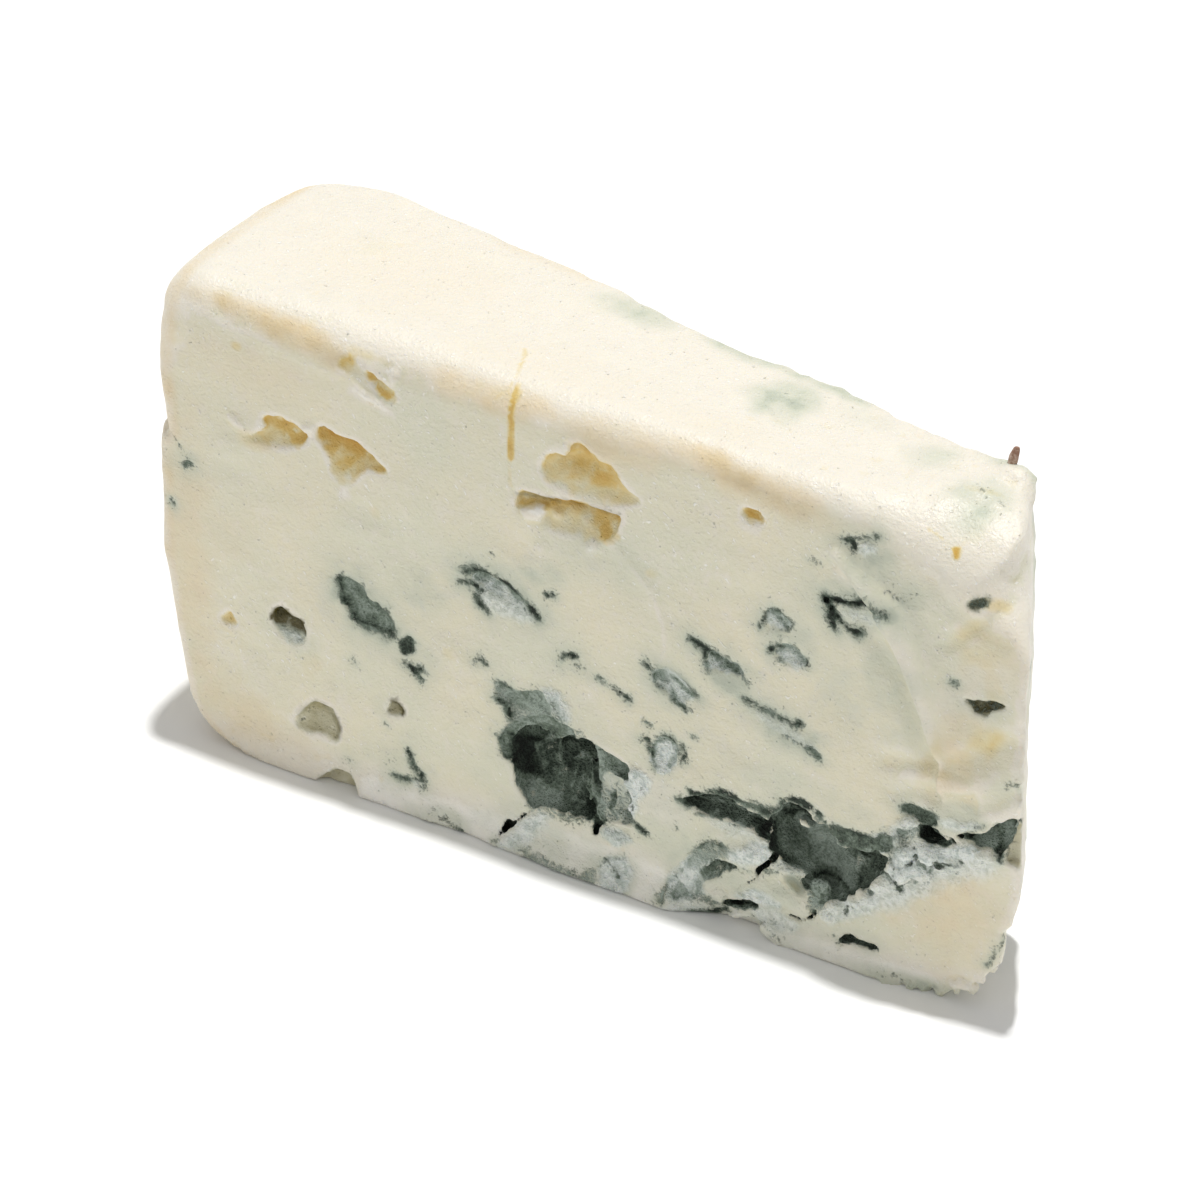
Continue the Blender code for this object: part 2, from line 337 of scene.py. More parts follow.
# the hollows of the big cut face, outlines in mm on that face. A hollow rises by leanMm for each mm
# it goes in, so its upper rim overhangs, and lowShare is how deep it still is at its lower edge
hollows = named(("path", "depthMm", "leanMm", "lowShare", "rimMm", "raggedMm", "kind"), {
    "pocketA": ([(40, 9.9), (39.9, 12), (40.3, 13.6), (42, 14), (43.2, 13.9), (44.2, 13.6), (45.6, 14.3),
        (47.2, 15.4), (48.4, 15.2), (49.2, 14), (49.6, 12), (49.6, 9.5), (49.8, 7.5), (50.4, 6.2), (49.8, 4.9),
        (49.2, 6.2), (48, 6.6), (46, 6.4), (44.5, 6.5), (43.5, 6.2), (42.3, 5.4), (41.4, 6.3), (40.6, 7.4),
        (40.6, 8.8)], 6.4, 0.1, 0.22, 1, 0.35, "mould"),
    "pocketALedge": ([(38.8, 10.6), (39.2, 13.4), (40.5, 14.6), (42.2, 15.9), (44, 16.5), (45.6, 16.7),
        (47.6, 15.7), (47.2, 14.6), (44.8, 13), (41, 12.6), (40.2, 10)], 1.3, 0.3, 1, 0.9, 0.25, "mould"),
    "pocketAFold": ([(47.6, 15.8), (49.4, 15.6), (51, 15.2), (52.6, 14.7), (54, 14), (53.6, 13.2), (53, 12.3),
        (52, 12.5), (50.9, 12.2), (50, 11.2), (49, 11.6), (48.2, 13.9)], 1.3, 0.35, 0.9, 0.6, 0.15, "grey"),
    "pocketALump": ([(49, 11.8), (51.4, 12.6), (53, 12.4), (54, 10.8), (54.2, 9), (53.6, 7.6), (52.2, 7.3),
        (50.6, 7.2), (49.6, 8)], 1.3, 0, 1, 0.7, 0.3, "dusty"),
    "pocketB": ([(68.3, 12.6), (69.2, 13.8), (70, 15), (70.6, 16), (71.4, 16.6), (72.6, 16.5), (73.4, 15.9),
        (74.6, 15.4), (76, 15.1), (77, 14.2), (78.4, 14.2), (79.8, 14.1), (80.8, 14.9), (81.9, 14.4),
        (82.2, 13.6), (81.4, 12.4), (80.4, 11.2), (79.8, 10), (79.2, 8.8), (78.2, 7.6), (77.2, 7.4), (76, 7),
        (75, 6), (74, 5.2), (73.7, 4.4), (73.3, 6), (72.6, 7.9), (71.6, 9), (70.4, 9.4), (69.6, 10.2),
        (68.9, 11.3)], 5.4, 0.14, 0.3, 1.2, 0.35, "mould"),
    "pocketBLeft": ([(59, 12.4), (60.2, 13.1), (61.6, 14), (63, 14.5), (65, 14.4), (67, 14.1), (68.8, 13.6),
        (70, 12.4), (68.9, 11.2), (67, 12), (65, 12.3), (63, 12.2), (61.4, 12), (60, 12.2)],
        3.6, 0.5, 0.5, 0.7, 0.2, "mould"),
    "pocketBRight": ([(85.4, 19.2), (86.6, 19.3), (87.4, 18.9), (88.6, 18.7), (89.3, 18.3), (88.4, 17.8),
        (87.3, 17.4), (86.2, 17.1), (85.3, 17.6), (85.2, 18.6)], 3.2, 0.05, 0.9, 0.6, 0.3, "mould"),
    "limbBed": ([(83.3, 20.5), (84.6, 20.9), (86.3, 20.9), (87.1, 20.3), (87.4, 19.6), (86.6, 19.3),
        (85.2, 19.2), (84.4, 19.8)], 0.9, 0.3, 0.9, 0.6, 0.35, "grey"),
    "limbRim": ([(82.4, 15.2), (83.2, 16.4), (84.4, 17.3), (85, 18.9), (83.8, 18.4), (82.2, 17), (81, 15),
        (82.2, 13.8)], 0.8, 0.1, 0.8, 0.8, 0.4, "smear"),
    "pocketTip": ([(89.6, 19.2), (91, 20.1), (92, 20.8), (93.4, 21.9), (94.7, 22.9), (95.6, 23.6), (95.2, 21.4),
        (94.5, 19.4), (94.1, 18.1), (93.6, 19.2), (92.4, 19.4), (91, 19.3)], 2.6, 0.25, 0.6, 0.8, 0.2, "grey"),
    "tipNotch": ([(94.4, 18.6), (94.8, 20.4), (95.2, 22), (97.5, 24.2), (98.5, 21), (98, 18.4), (95.6, 18.2)],
        1.6, 0.2, 0.7, 0.9, 0.2, "brown"),
    "heapBed": ([(81, 11.4), (82, 13.6), (83, 15.6), (84.4, 16.9), (86.8, 17.4), (88, 16.2), (86.2, 14.6),
        (84.2, 12.8), (82.6, 11.2)], 1.1, 0, 0.3, 1.2, 0.4, "crumb"),
    "crumbBed": ([(74.6, 4.8), (75.4, 6.8), (77.4, 7.7), (79.2, 8.7), (80.2, 10.4), (80.9, 9.9), (79.8, 8),
        (77.6, 6.2), (75.6, 4.6)], 0.8, 0, 0.3, 1, 0.35, "crumb"),
    "smearBed": ([(57.8, 1), (57.6, 3.4), (59.6, 5.6), (61.6, 8), (63.4, 9.4), (65, 8.8), (64.4, 7.2),
        (61.8, 5), (62.4, 2.6), (60, 0.8)], 0.7, 0.1, 0.7, 1.1, 0.4, "smear"),
    "smearHollow": ([(38.4, 19.2), (40, 18.9), (41.5, 19.2), (43, 19.5), (44, 18.4), (44.8, 17.2), (46, 16.4),
        (47.6, 15.8), (45, 15), (40, 13.4), (39.4, 15.6), (39.2, 16.6), (38.4, 17.4)],
        0.6, 0.1, 1, 0.9, 0.6, "smudge"),
    "upperHollow": ([(20.4, 24.8), (22.4, 25.2), (24, 22.9), (25.6, 22.5), (26.5, 20.4), (24, 20.3),
        (22.2, 20.6), (20.8, 23)], 0.6, 0.1, 0.8, 0.8, 0.4, "grey"),
    "lowHollow": ([(61.2, 4), (61.7, 5.4), (62.8, 6.4), (64.4, 7), (65.8, 7), (64.6, 6.3), (63.9, 5.8),
        (63.4, 5), (62.4, 4)], 2, 0.3, 0.1, 0.6, 0.25, "mould"),
    "lowSlit": ([(64, 1.8), (65.2, 2.7), (66.6, 3.3), (68.4, 3.5), (67.4, 2.8), (66.2, 2.2), (65.2, 1.9)],
        2.4, 0.3, 0.9, 0.35, 0.1, "mould"),
    "baseSlit": ([(76.8, 2.2), (77.5, 3.2), (78.3, 3.7), (79.2, 3.4), (80.2, 3.4), (81.2, 3.6), (81.1, 3),
        (79.8, 2.7), (78.6, 2.8), (77.6, 2.4)], 2.2, 0.2, 0.9, 0.35, 0.12, "mould"),
    "oval": ([(55.9, 25.6), (56.3, 26.7), (57.6, 27), (59, 26.5), (60.5, 25.2), (59.9, 24.2), (59.3, 23.5),
        (58.3, 23.5), (57.6, 24.4), (56.6, 24.9)], 1.1, 0.4, 0.3, 0.6, 0.15, "pale"),
    "horseshoe": ([(56.2, 15.6), (55.9, 17.2), (56.4, 18.8), (57.6, 19.5), (58.8, 18.9), (59.1, 17.5),
        (58.4, 16.2), (57.9, 15.4)], 1, 0.3, 0.3, 0.6, 0.25, "pale"),
    "longVein": ([(61.8, 28.7), (61.7, 30.2), (62.6, 30.7), (64, 30.4), (65.2, 30.1), (66, 29.2), (64.8, 29.1),
        (63.8, 28.9), (62.6, 28.7)], 1.2, 0.4, 0.3, 0.5, 0.15, "pale"),
    "arc": ([(35.2, 29.6), (36, 30.5), (37.6, 30.6), (39.4, 30.2), (41, 29.2), (42.6, 28.3), (41.6, 27.9),
        (40, 28.2), (38.4, 28.8), (36.8, 29.2)], 0.9, 0.4, 0.2, 0.6, 0.2, "pale"),
    "triangle": ([(68, 35.2), (68.3, 37.6), (69.3, 37.9), (71.1, 36.8), (70, 36), (69.2, 35.4)],
        0.8, 0.3, 0.3, 0.5, 0.12, "pale"),
    "arch": ([(69.2, 33), (69.9, 34.2), (71.1, 34.5), (72.2, 33.9), (72.6, 33), (71.4, 32.2), (70.2, 32.2)],
        0.8, 0.3, 0.3, 0.5, 0.12, "pale"),
    "upperSlit": ([(89.6, 35.1), (91.5, 35.4), (93, 35.9), (94.4, 35.9), (93.4, 35.2), (92.2, 34.5), (91, 33.7),
        (90.7, 34.5)], 1.6, 0.3, 0.8, 0.4, 0.1, "olive"),
    "upperNick": ([(89.6, 45.2), (90.2, 46), (91.7, 46.8), (91.4, 46), (90.7, 45.3)],
        1, 0.2, 0.8, 0.35, 0.08, "olive"),
    "eyeWing": ([(17.8, 40.6), (18.8, 41.8), (20, 41.2), (21.5, 41.2), (22.5, 41.2), (23.6, 40.7), (25, 39.8),
        (26.5, 38.8), (25, 38.5), (23.2, 38.3), (22.6, 37), (21.7, 35.9), (20.3, 35.8), (19.6, 37.2),
        (19.4, 38.6), (18.6, 39.6)], 2.1, 0.5, 0.03, 1.7, 0.2, "eye"),
    "eyeOval": ([(11.8, 40.6), (13.5, 41), (15.5, 40.7), (17, 40.2), (16.9, 39.5), (15.8, 38.5), (14, 37.9),
        (11.5, 37.6), (9.5, 37.4), (10.5, 38.4), (12.3, 39.2)], 1.7, 0.3, 0.15, 1.2, 0.2, "eye"),
    "eyeSlant": ([(23.6, 49.4), (24.8, 49.3), (26, 48.9), (27.3, 48.4), (27.3, 47.4), (26.6, 46.9),
        (25.6, 47.4), (24.6, 48.2)], 1.2, 0.4, 0.05, 1, 0.25, "eye"),
    "eyeSlantDent": ([(20.4, 49.6), (22, 50.4), (23.8, 49.8), (25, 49.2), (24, 48.2), (22.6, 48.2),
        (21.4, 48.9)], 0.45, 0.3, 0.05, 1.6, 0.35, "eye"),
    "eyeWide": ([(43.4, 44.6), (44, 46.6), (45.2, 47.6), (46.8, 47.6), (47, 48.8), (47.8, 49.5), (48.8, 48.9),
        (49.7, 48.2), (51.7, 47.8), (51.9, 46.9), (52.7, 46), (54.8, 45.1), (53, 44), (51, 43.3), (48.5, 43.1),
        (45.6, 43.5)], 2.5, 0.45, 0, 1.7, 0.25, "eye"),
    "eyeSlot": ([(40.6, 40.4), (41, 41.6), (42.2, 42.1), (44.5, 42.2), (46.3, 42.3), (47.2, 42.8), (49, 42.7),
        (51, 42.6), (52.4, 43), (52.1, 41.8), (51.7, 40.4), (50.8, 39.2), (48.5, 38.6), (45.6, 38.8),
        (43, 38.8), (41.3, 39.2)], 2.4, 0.4, 0.02, 1.1, 0.2, "slot"),
    "eyeSmall": ([(65.3, 47.5), (66, 48.2), (67.5, 48.1), (68, 47.4), (67.5, 46.7), (65.8, 46.7)],
        1.5, 0.4, 0, 0.9, 0.12, "eye"),
    "eyeEdge": ([(87.9, 51.4), (88.8, 51.7), (89.4, 52), (89.2, 51), (88.7, 50), (88.3, 50.6)],
        0.9, 0.2, 0.5, 0.4, 0.12, "eye"),
    "eyeDot": ([(5.9, 15.2), (6.8, 15.9), (7.2, 16.5), (7.6, 15.7), (8, 15.1), (7, 14.7)],
        0.6, 0.1, 0.6, 0.6, 0.06, "eye"),
    "eyeBrown": ([(12.2, 17.4), (12.5, 18.2), (13.3, 18.9), (14.1, 18.9), (14.7, 18.3), (15.9, 18.2),
        (16.3, 17.4), (16.3, 16.2), (15.8, 15.3), (14.3, 15.3), (13, 15.4), (12.6, 16.3)],
        2.2, 0.5, 0.15, 0.8, 0.1, "darkEye"),
    "eyeLow": ([(14.6, 6.2), (15.8, 7.6), (17, 9.2), (18.3, 9.5), (19.5, 8.7), (20, 7.2), (20, 5.8),
        (19.3, 5.1), (18, 5.6), (16.8, 5.1), (15.4, 5)], 1.9, 0.35, 0.1, 1, 0.2, "brown"),
    "eyeOlive": ([(25.3, 10.5), (25.9, 11.4), (26.3, 12.6), (27, 12.6), (27.7, 11.9), (27.3, 11.1),
        (26.2, 10.9)], 1.4, 0.3, 0.5, 0.5, 0.2, "brown"),
    "baseNotch": ([(17.3, -1), (17.8, 0.6), (19, 1.5), (20.4, 2.2), (21.4, 1.8), (22.2, 0.7), (22.6, -1)],
        1.4, 0.1, 1, 0.7, 0.25, "brown"),
})

# cracks: a line on the big cut face, its width and depth, in mm
cracks = named(("path", "widthMm", "depthMm"), {
    "crackA": ([(40.2, 2.9), (40.9, 3.8), (41.6, 4.5), (42.4, 5.1), (43.2, 5.3)], 0.34, 1.8),
    "crackAEnd": ([(40.1, 2.9), (39.6, 2.4), (39, 1.6)], 0.85, 1.8),
    "foldLine": ([(49.7, 5.4), (50, 6.5), (51.2, 6.8), (52.6, 6.9), (53.7, 7)], 0.36, 1.5),
    "lumpCrack": ([(51.9, 10.9), (51.6, 9.5), (51.2, 8.5), (52.4, 8)], 0.4, 1.9),
    "lumpSide": ([(53.4, 11.6), (54.1, 10), (53.6, 8.6)], 0.3, 1.6),
    "tongueCrack": ([(70, 10.2), (69.6, 9.3), (68.9, 8.7), (68.2, 7.9), (68, 7.1), (67.7, 6.3), (67, 5.8)],
        0.44, 2.2),
    "lumpUnder": ([(74.4, 5), (73.9, 4.1), (73, 3.6), (71.8, 3.5), (70.6, 4.2)], 0.46, 1.2),
    "slitLine": ([(64.2, 2.3), (65.4, 2.8), (66.6, 3.2), (67.9, 3.4)], 0.4, 1.6),
    "tear": ([(89.4, 19.3), (91, 20), (92.6, 21), (94.2, 22.5), (96.4, 23.8)], 0.24, 2),
    "branch": ([(74.8, 41.3), (76.5, 41.4), (78.6, 41.7), (80.4, 42.2), (81.8, 42.2)], 0.32, 1.2),
    "branchLow": ([(75, 41), (75.7, 40), (76.8, 39.3), (78.2, 38.7)], 0.4, 1),
    "yellowCrack": ([(41.2, 54), (40.6, 51.8), (40.3, 50.3), (40.4, 47.5), (40.3, 45.5), (40.4, 43),
        (40.6, 41.5)], 0.3, 0.4),
    "curlCrease": ([(84.9, 16.4), (85.1, 15.2), (84.4, 14.1), (83.3, 13.5)], 0.3, 1.2),
    "flapCrease": ([(87, 14.9), (88.2, 15.2), (89.6, 15.2)], 0.3, 1),
    "lowCrease": ([(80.8, 12), (82, 12), (83, 11.3)], 0.3, 1),
})

# mould drawn out thin along the cut: its line, width in mm, how dark it is and how far it tints the paste
veins = {
    "arcUpper": ([(34.8, 30.5), (36, 31), (38.4, 30.9), (40, 30.3), (41.6, 29.2), (43, 28.2)], 0.8, 0.85, 2),
    "arcLower": ([(34.2, 29.1), (35.2, 29.6), (36.7, 29)], 0.5, 1, 1.6),
    "arcHook": ([(36.6, 28.8), (35.8, 28.1), (36.3, 27.4)], 0.8, 0.5, 1.4),
    "arcDot": ([(36.6, 27.4), (37.3, 26.8)], 0.9, 1, 1),
    "arcSpot": ([(44.1, 31), (44.8, 31.3)], 0.7, 0.9, 0.8),
    "arcSpeck": ([(37.8, 33.7), (38.2, 33.6)], 0.4, 0.35, 0.6),
    "rightSpot": ([(45.6, 23.9), (46.2, 24.7), (47.2, 25)], 0.7, 0.75, 1.3),
    "rightSpotTail": ([(47.4, 24.2), (48.4, 24)], 0.6, 0.4, 1),
    "smallSpot": ([(49.8, 23.4), (50.3, 23.7), (50.7, 23.2)], 0.4, 0.7, 0.6),
    "dash": ([(51.9, 22.8), (52.6, 22.4), (53.4, 22.2)], 0.5, 0.9, 0.7),
    "sprig": ([(36.1, 20.7), (36.7, 21.1), (37.3, 20.7)], 0.4, 0.75, 0.8),
    "sprigTop": ([(36.6, 21.1), (36.5, 21.7)], 0.25, 0.5, 0.4),
    "ovalRim": ([(57.2, 24.8), (56.3, 25.1), (56.2, 26.2), (57, 26.9), (58.3, 26.6), (59.5, 25.9),
        (60.7, 25.1)], 0.45, 1, 1.2),
    "ovalFoot": ([(58.3, 24.9), (58.5, 24), (59.6, 23.5)], 0.75, 1, 0.7),
    "ovalSpeck": ([(55.2, 27.6), (55.6, 27.4)], 0.5, 0.6, 0.5),
    "ovalSpeckLow": ([(55.2, 26.9), (55.7, 26.6)], 0.45, 0.7, 0.5),
    "longTop": ([(60.3, 31.4), (61.4, 31), (62.6, 30.6), (63.8, 30.2)], 0.55, 0.95, 1.3),
    "longBlot": ([(63.8, 29.9), (65.2, 29.8)], 0.85, 1, 0.9),
    "longTail": ([(65.3, 29.6), (65.8, 28.9), (66.6, 28.6)], 0.35, 0.55, 1),
    "longHook": ([(61.8, 30.3), (61.9, 29.3), (62.1, 28.6)], 0.6, 0.9, 0.8),
    "triangleTop": ([(67.6, 35.3), (68.1, 36.5), (68.4, 37.7), (69.5, 37.8), (71.2, 36.9)], 0.4, 0.9, 0.9),
    "triangleBlot": ([(69.8, 37.1), (70.4, 36.4)], 1, 0.9, 0.5),
    "archTop": ([(68.9, 33.2), (69.6, 34), (71, 34.4), (71.8, 34.1), (72.3, 33.4), (72.9, 33)], 0.5, 1, 0.9),
    "archSpeck": ([(70, 32.5), (70.4, 32.3)], 0.4, 0.7, 0.4),
    "branchTop": ([(74.6, 41.2), (76, 41.5), (78, 41.7), (80, 42.2), (81.8, 42.1)], 0.45, 1, 2.2),
    "branchRise": ([(77.6, 42.3), (78.4, 42.9), (79.1, 43.7), (79.9, 42.8)], 0.35, 0.5, 0.8),
    "branchEnd": ([(80.2, 42.6), (81.4, 42.6)], 0.8, 0.75, 0.6),
    "branchDown": ([(74.9, 41.2), (75.5, 40.2), (75.3, 39.2), (75.9, 38.2)], 0.7, 0.85, 1.6),
    "branchAcross": ([(75.5, 40), (76.6, 39.3), (78.2, 38.6)], 0.6, 1, 1.2),
    "upperFork": ([(76.8, 48.2), (77.8, 48.8), (79.4, 49.3), (80.2, 50)], 0.35, 0.8, 1.3),
    "upperForkFoot": ([(77.5, 48.6), (77.8, 47.9)], 0.6, 0.9, 0.7),
    "upperForkTail": ([(75.2, 48), (76.8, 48.4)], 0.2, 0.35, 0.7),
    "oliveFork": ([(81.6, 44.6), (82.7, 43.7), (84.8, 45.2)], 0.3, 0.4, 1),
    "oliveSmudge": ([(73.1, 44.8), (74.1, 44.9)], 0.6, 0.4, 0.8),
    "oliveSmudgeTop": ([(75.2, 45.6), (75.9, 45.5)], 0.3, 0.3, 0.5),
    "edgeDot": ([(88.6, 36.6), (89, 36.5)], 0.5, 0.7, 0.6),
    "edgeMarks": ([(94.7, 26.9), (95.2, 27.6), (95.8, 27.4)], 0.5, 0.5, 1.4),
    "thinUpper": ([(66, 26.6), (67.4, 26.2), (70, 26), (71.8, 25.6)], 0.22, 0.9, 1.6),
    "thinUpperEnd": ([(71.3, 25.5), (72.2, 25.9)], 0.5, 0.7, 0.8),
    "thinLower": ([(70.6, 24.1), (72.4, 23.8), (73.6, 23.5)], 0.5, 0.5, 1.4),
    "thinLowerEnd": ([(73.4, 23.5), (74.4, 23)], 0.8, 0.9, 0.8),
    "shoeRim": ([(56.5, 15.6), (56.1, 16.8), (56.3, 18.4), (57.6, 19.4), (58.8, 18.9), (59.1, 17.8)],
        0.4, 0.95, 0.9),
    "shoeLeft": ([(54.9, 18.2), (55.7, 18.6), (55.8, 17.3)], 0.8, 0.6, 1),
    "shoeRight": ([(59.2, 18.9), (59.7, 18), (59.3, 17.4)], 0.8, 0.6, 0.9),
    "shoeDot": ([(55.4, 20.2), (55.9, 20.1)], 0.4, 0.7, 0.5),
    "loneDot": ([(60.5, 20.5), (60.9, 20.5)], 0.45, 0.6, 0.5),
    "loneDotLow": ([(58.9, 9.5), (59, 9.1)], 0.4, 0.35, 0.5),
    "rindDot": ([(2.6, 32.1), (3.2, 32.6)], 0.8, 0.7, 1.5),
    "rindDotLow": ([(0.6, 27.4), (1, 27.2)], 0.7, 0.55, 0.8),
    "rindDotTop": ([(2.1, 34.3), (2.3, 34.2)], 0.25, 0.5, 0.3),
    "clusterB": ([(28, 17.4), (28.8, 17), (29.9, 17.3)], 0.5, 1, 1.1),
    "clusterBLow": ([(28.5, 17.3), (28.9, 16.8), (29.6, 16.3)], 0.5, 1, 0.9),
    "lipSpecks": ([(45.6, 6), (46.6, 6.2), (47.4, 5.8)], 0.5, 0.6, 0.5),
    "ringArc": ([(50.7, 2.2), (51.5, 3.1), (52.8, 3.5)], 0.3, 0.7, 0.6),
    "speckA": ([(21.8, 15.8), (21.9, 15.5)], 0.45, 0.5, 0.6),
    "speckB": ([(25.6, 9.7), (25.7, 9.5)], 0.4, 0.45, 0.5),
    "speckC": ([(25.7, 5.6), (26, 5.5)], 0.4, 0.4, 0.6),
    "speckD": ([(20.8, 3.8), (21.2, 3.6)], 0.5, 0.45, 0.8),
    "forkStem": ([(28.1, 7.2), (28.4, 6.2), (29.2, 5.2), (29.9, 4.2), (29.8, 3.4)], 0.55, 0.85, 1),
    "forkArm": ([(26.3, 3.7), (27.4, 3.7), (28.3, 4), (29.6, 4.1)], 0.5, 0.85, 1),
    "footMarks": ([(30.3, 0.1), (31.8, -0.1)], 0.5, 0.5, 1.2),
    "footSpeck": ([(31.2, 1.6), (31.7, 1.6)], 0.35, 0.4, 0.8),
    "footSmear": ([(32.4, 0.9), (33.4, 0.7), (34.6, 0.3)], 0.6, 0.5, 1.1),
    "footLong": ([(41.5, 0.9), (42.8, 0.3), (44.3, -0.4)], 0.6, 0.7, 0.9),
    "footShort": ([(45.4, 0.1), (46.4, 0.2)], 0.4, 0.7, 0.7),
    "footDark": ([(49.2, 0.6), (50.2, 0), (50.8, -0.8)], 0.9, 0.55, 1.2),
    "ringStar": ([(52, 1.9), (52.6, 1.6)], 0.9, 0.8, 0.9),
    "ringFoot": ([(51.6, 0.4), (52.8, 0.2)], 0.7, 0.4, 0.9),
    "foldTail": ([(54, 8.2), (55.4, 7.3)], 0.5, 0.8, 0.6),
    "limbTip": ([(59.1, 12.7), (60.2, 12.6)], 0.7, 0.9, 0.9),
    "limbFuzz": ([(60.8, 13.8), (62.6, 14.9), (64.6, 15.2), (67, 14.8), (69.4, 14.6), (70.4, 16.2), (71.4, 17),
        (73, 16.9), (74.6, 16.2)], 1.1, 0.7, 1),
    "limbFloor": ([(61, 11.9), (63.4, 11.8), (66, 12)], 0.4, 0.5, 0.6),
    "rimRight": ([(75.8, 15.5), (77.4, 15.3), (79.2, 15.1), (80.8, 15.4)], 1.5, 0.62, 1),
    "limbUpper": ([(83.6, 20.5), (85, 20.9), (86.8, 20.7)], 0.8, 0.85, 0.9),
    "limbRidge": ([(84.6, 18.6), (83.4, 17.6), (82.6, 16.4)], 1, 0.35, 0.9),
    "smearDark": ([(61.2, 7.6), (62.4, 8.6), (63.6, 9), (64.6, 8.4)], 0.8, 0.6, 1),
    "smearDarkLow": ([(60.4, 5.6), (61.2, 6.8), (62.4, 7.6)], 0.5, 0.4, 0.9),
    "hollowBrow": ([(62.6, 6.8), (64, 7), (65.2, 6.8)], 0.35, 0.75, 0.6),
    "lowEdge": ([(60.6, 0.1), (62.4, 0.5), (64.2, 0.9), (64.3, 2.1)], 0.45, 0.85, 0.9),
    "lowEdgeSmudge": ([(61.8, 1.6), (63, 1.5), (64, 1.7)], 0.8, 0.4, 0.8),
    "flapLine": ([(66.8, 2), (68, 1.4), (69.4, 0.9), (70.9, 0.8), (70.8, 0.2)], 0.22, 0.5, 0.5),
    "nearSpecks": ([(68.6, 7.7), (69.4, 7.9), (69.9, 8.2)], 0.3, 0.6, 0.6),
    "rimNodule": ([(80.9, 16.4), (81.6, 16.9), (82.2, 16.3)], 0.8, 0.5, 0.6),
    "tearRim": ([(90.4, 20.2), (91.6, 21.4), (92.3, 21.8)], 0.7, 0.5, 0.9),
    "heapLine": ([(87, 15.1), (88.4, 15.3), (89.6, 15.8)], 0.4, 0.8, 0.7),
    "heapFoot": ([(81.4, 12.2), (82.6, 11.8), (83.6, 11)], 0.5, 0.75, 0.6),
    "grainsLow": ([(62, 8), (63.4, 8.6), (64, 7.8)], 0.7, 0.45, 0.8),
    "lineUnderTongue": ([(64.6, 6.8), (66, 6.9), (67.4, 7)], 0.25, 0.45, 0.6),
    "cornerDark": ([(57.9, 2), (57.6, 1.3), (57.9, 0.8)], 0.6, 0.55, 0.8),
    "cornerLine": ([(58.4, 1.6), (60.4, 2.4), (62.4, 1.6), (64, 1.4)], 0.7, 0.35, 1),
    "tipFoot": ([(77, 2.4), (76.6, 3)], 0.5, 0.5, 0.6),
    "footRight": ([(81.8, 0.8), (83, 0.9), (84.2, 0.5)], 0.6, 0.3, 1.2),
    "cornerFlake": ([(92.8, 5.4), (93.9, 7.4), (94.8, 9.4)], 0.3, 0.55, 0.5),
    "ridgeCover": ([(48.8, 8.8), (48.9, 10.2), (49, 11.6)], 1.4, 1, 0.4),
    "tipEdge": ([(94, 18.2), (94.2, 19.6), (94.6, 21)], 0.4, 0.9, 0.5),
    "smearEdgeLeft": ([(38.7, 19), (39.9, 18.7)], 0.6, 1, 0.9),
    "smearNotch": ([(38.9, 17), (39.7, 16.4), (39.9, 15.6)], 1, 0.95, 0.9),
    "smearDrop": ([(38.3, 12.9), (38.9, 12.6)], 0.5, 0.6, 0.8),
    "footLineA": ([(38.4, 0.8), (38.7, 0.4)], 0.5, 0.5, 0.8),
}

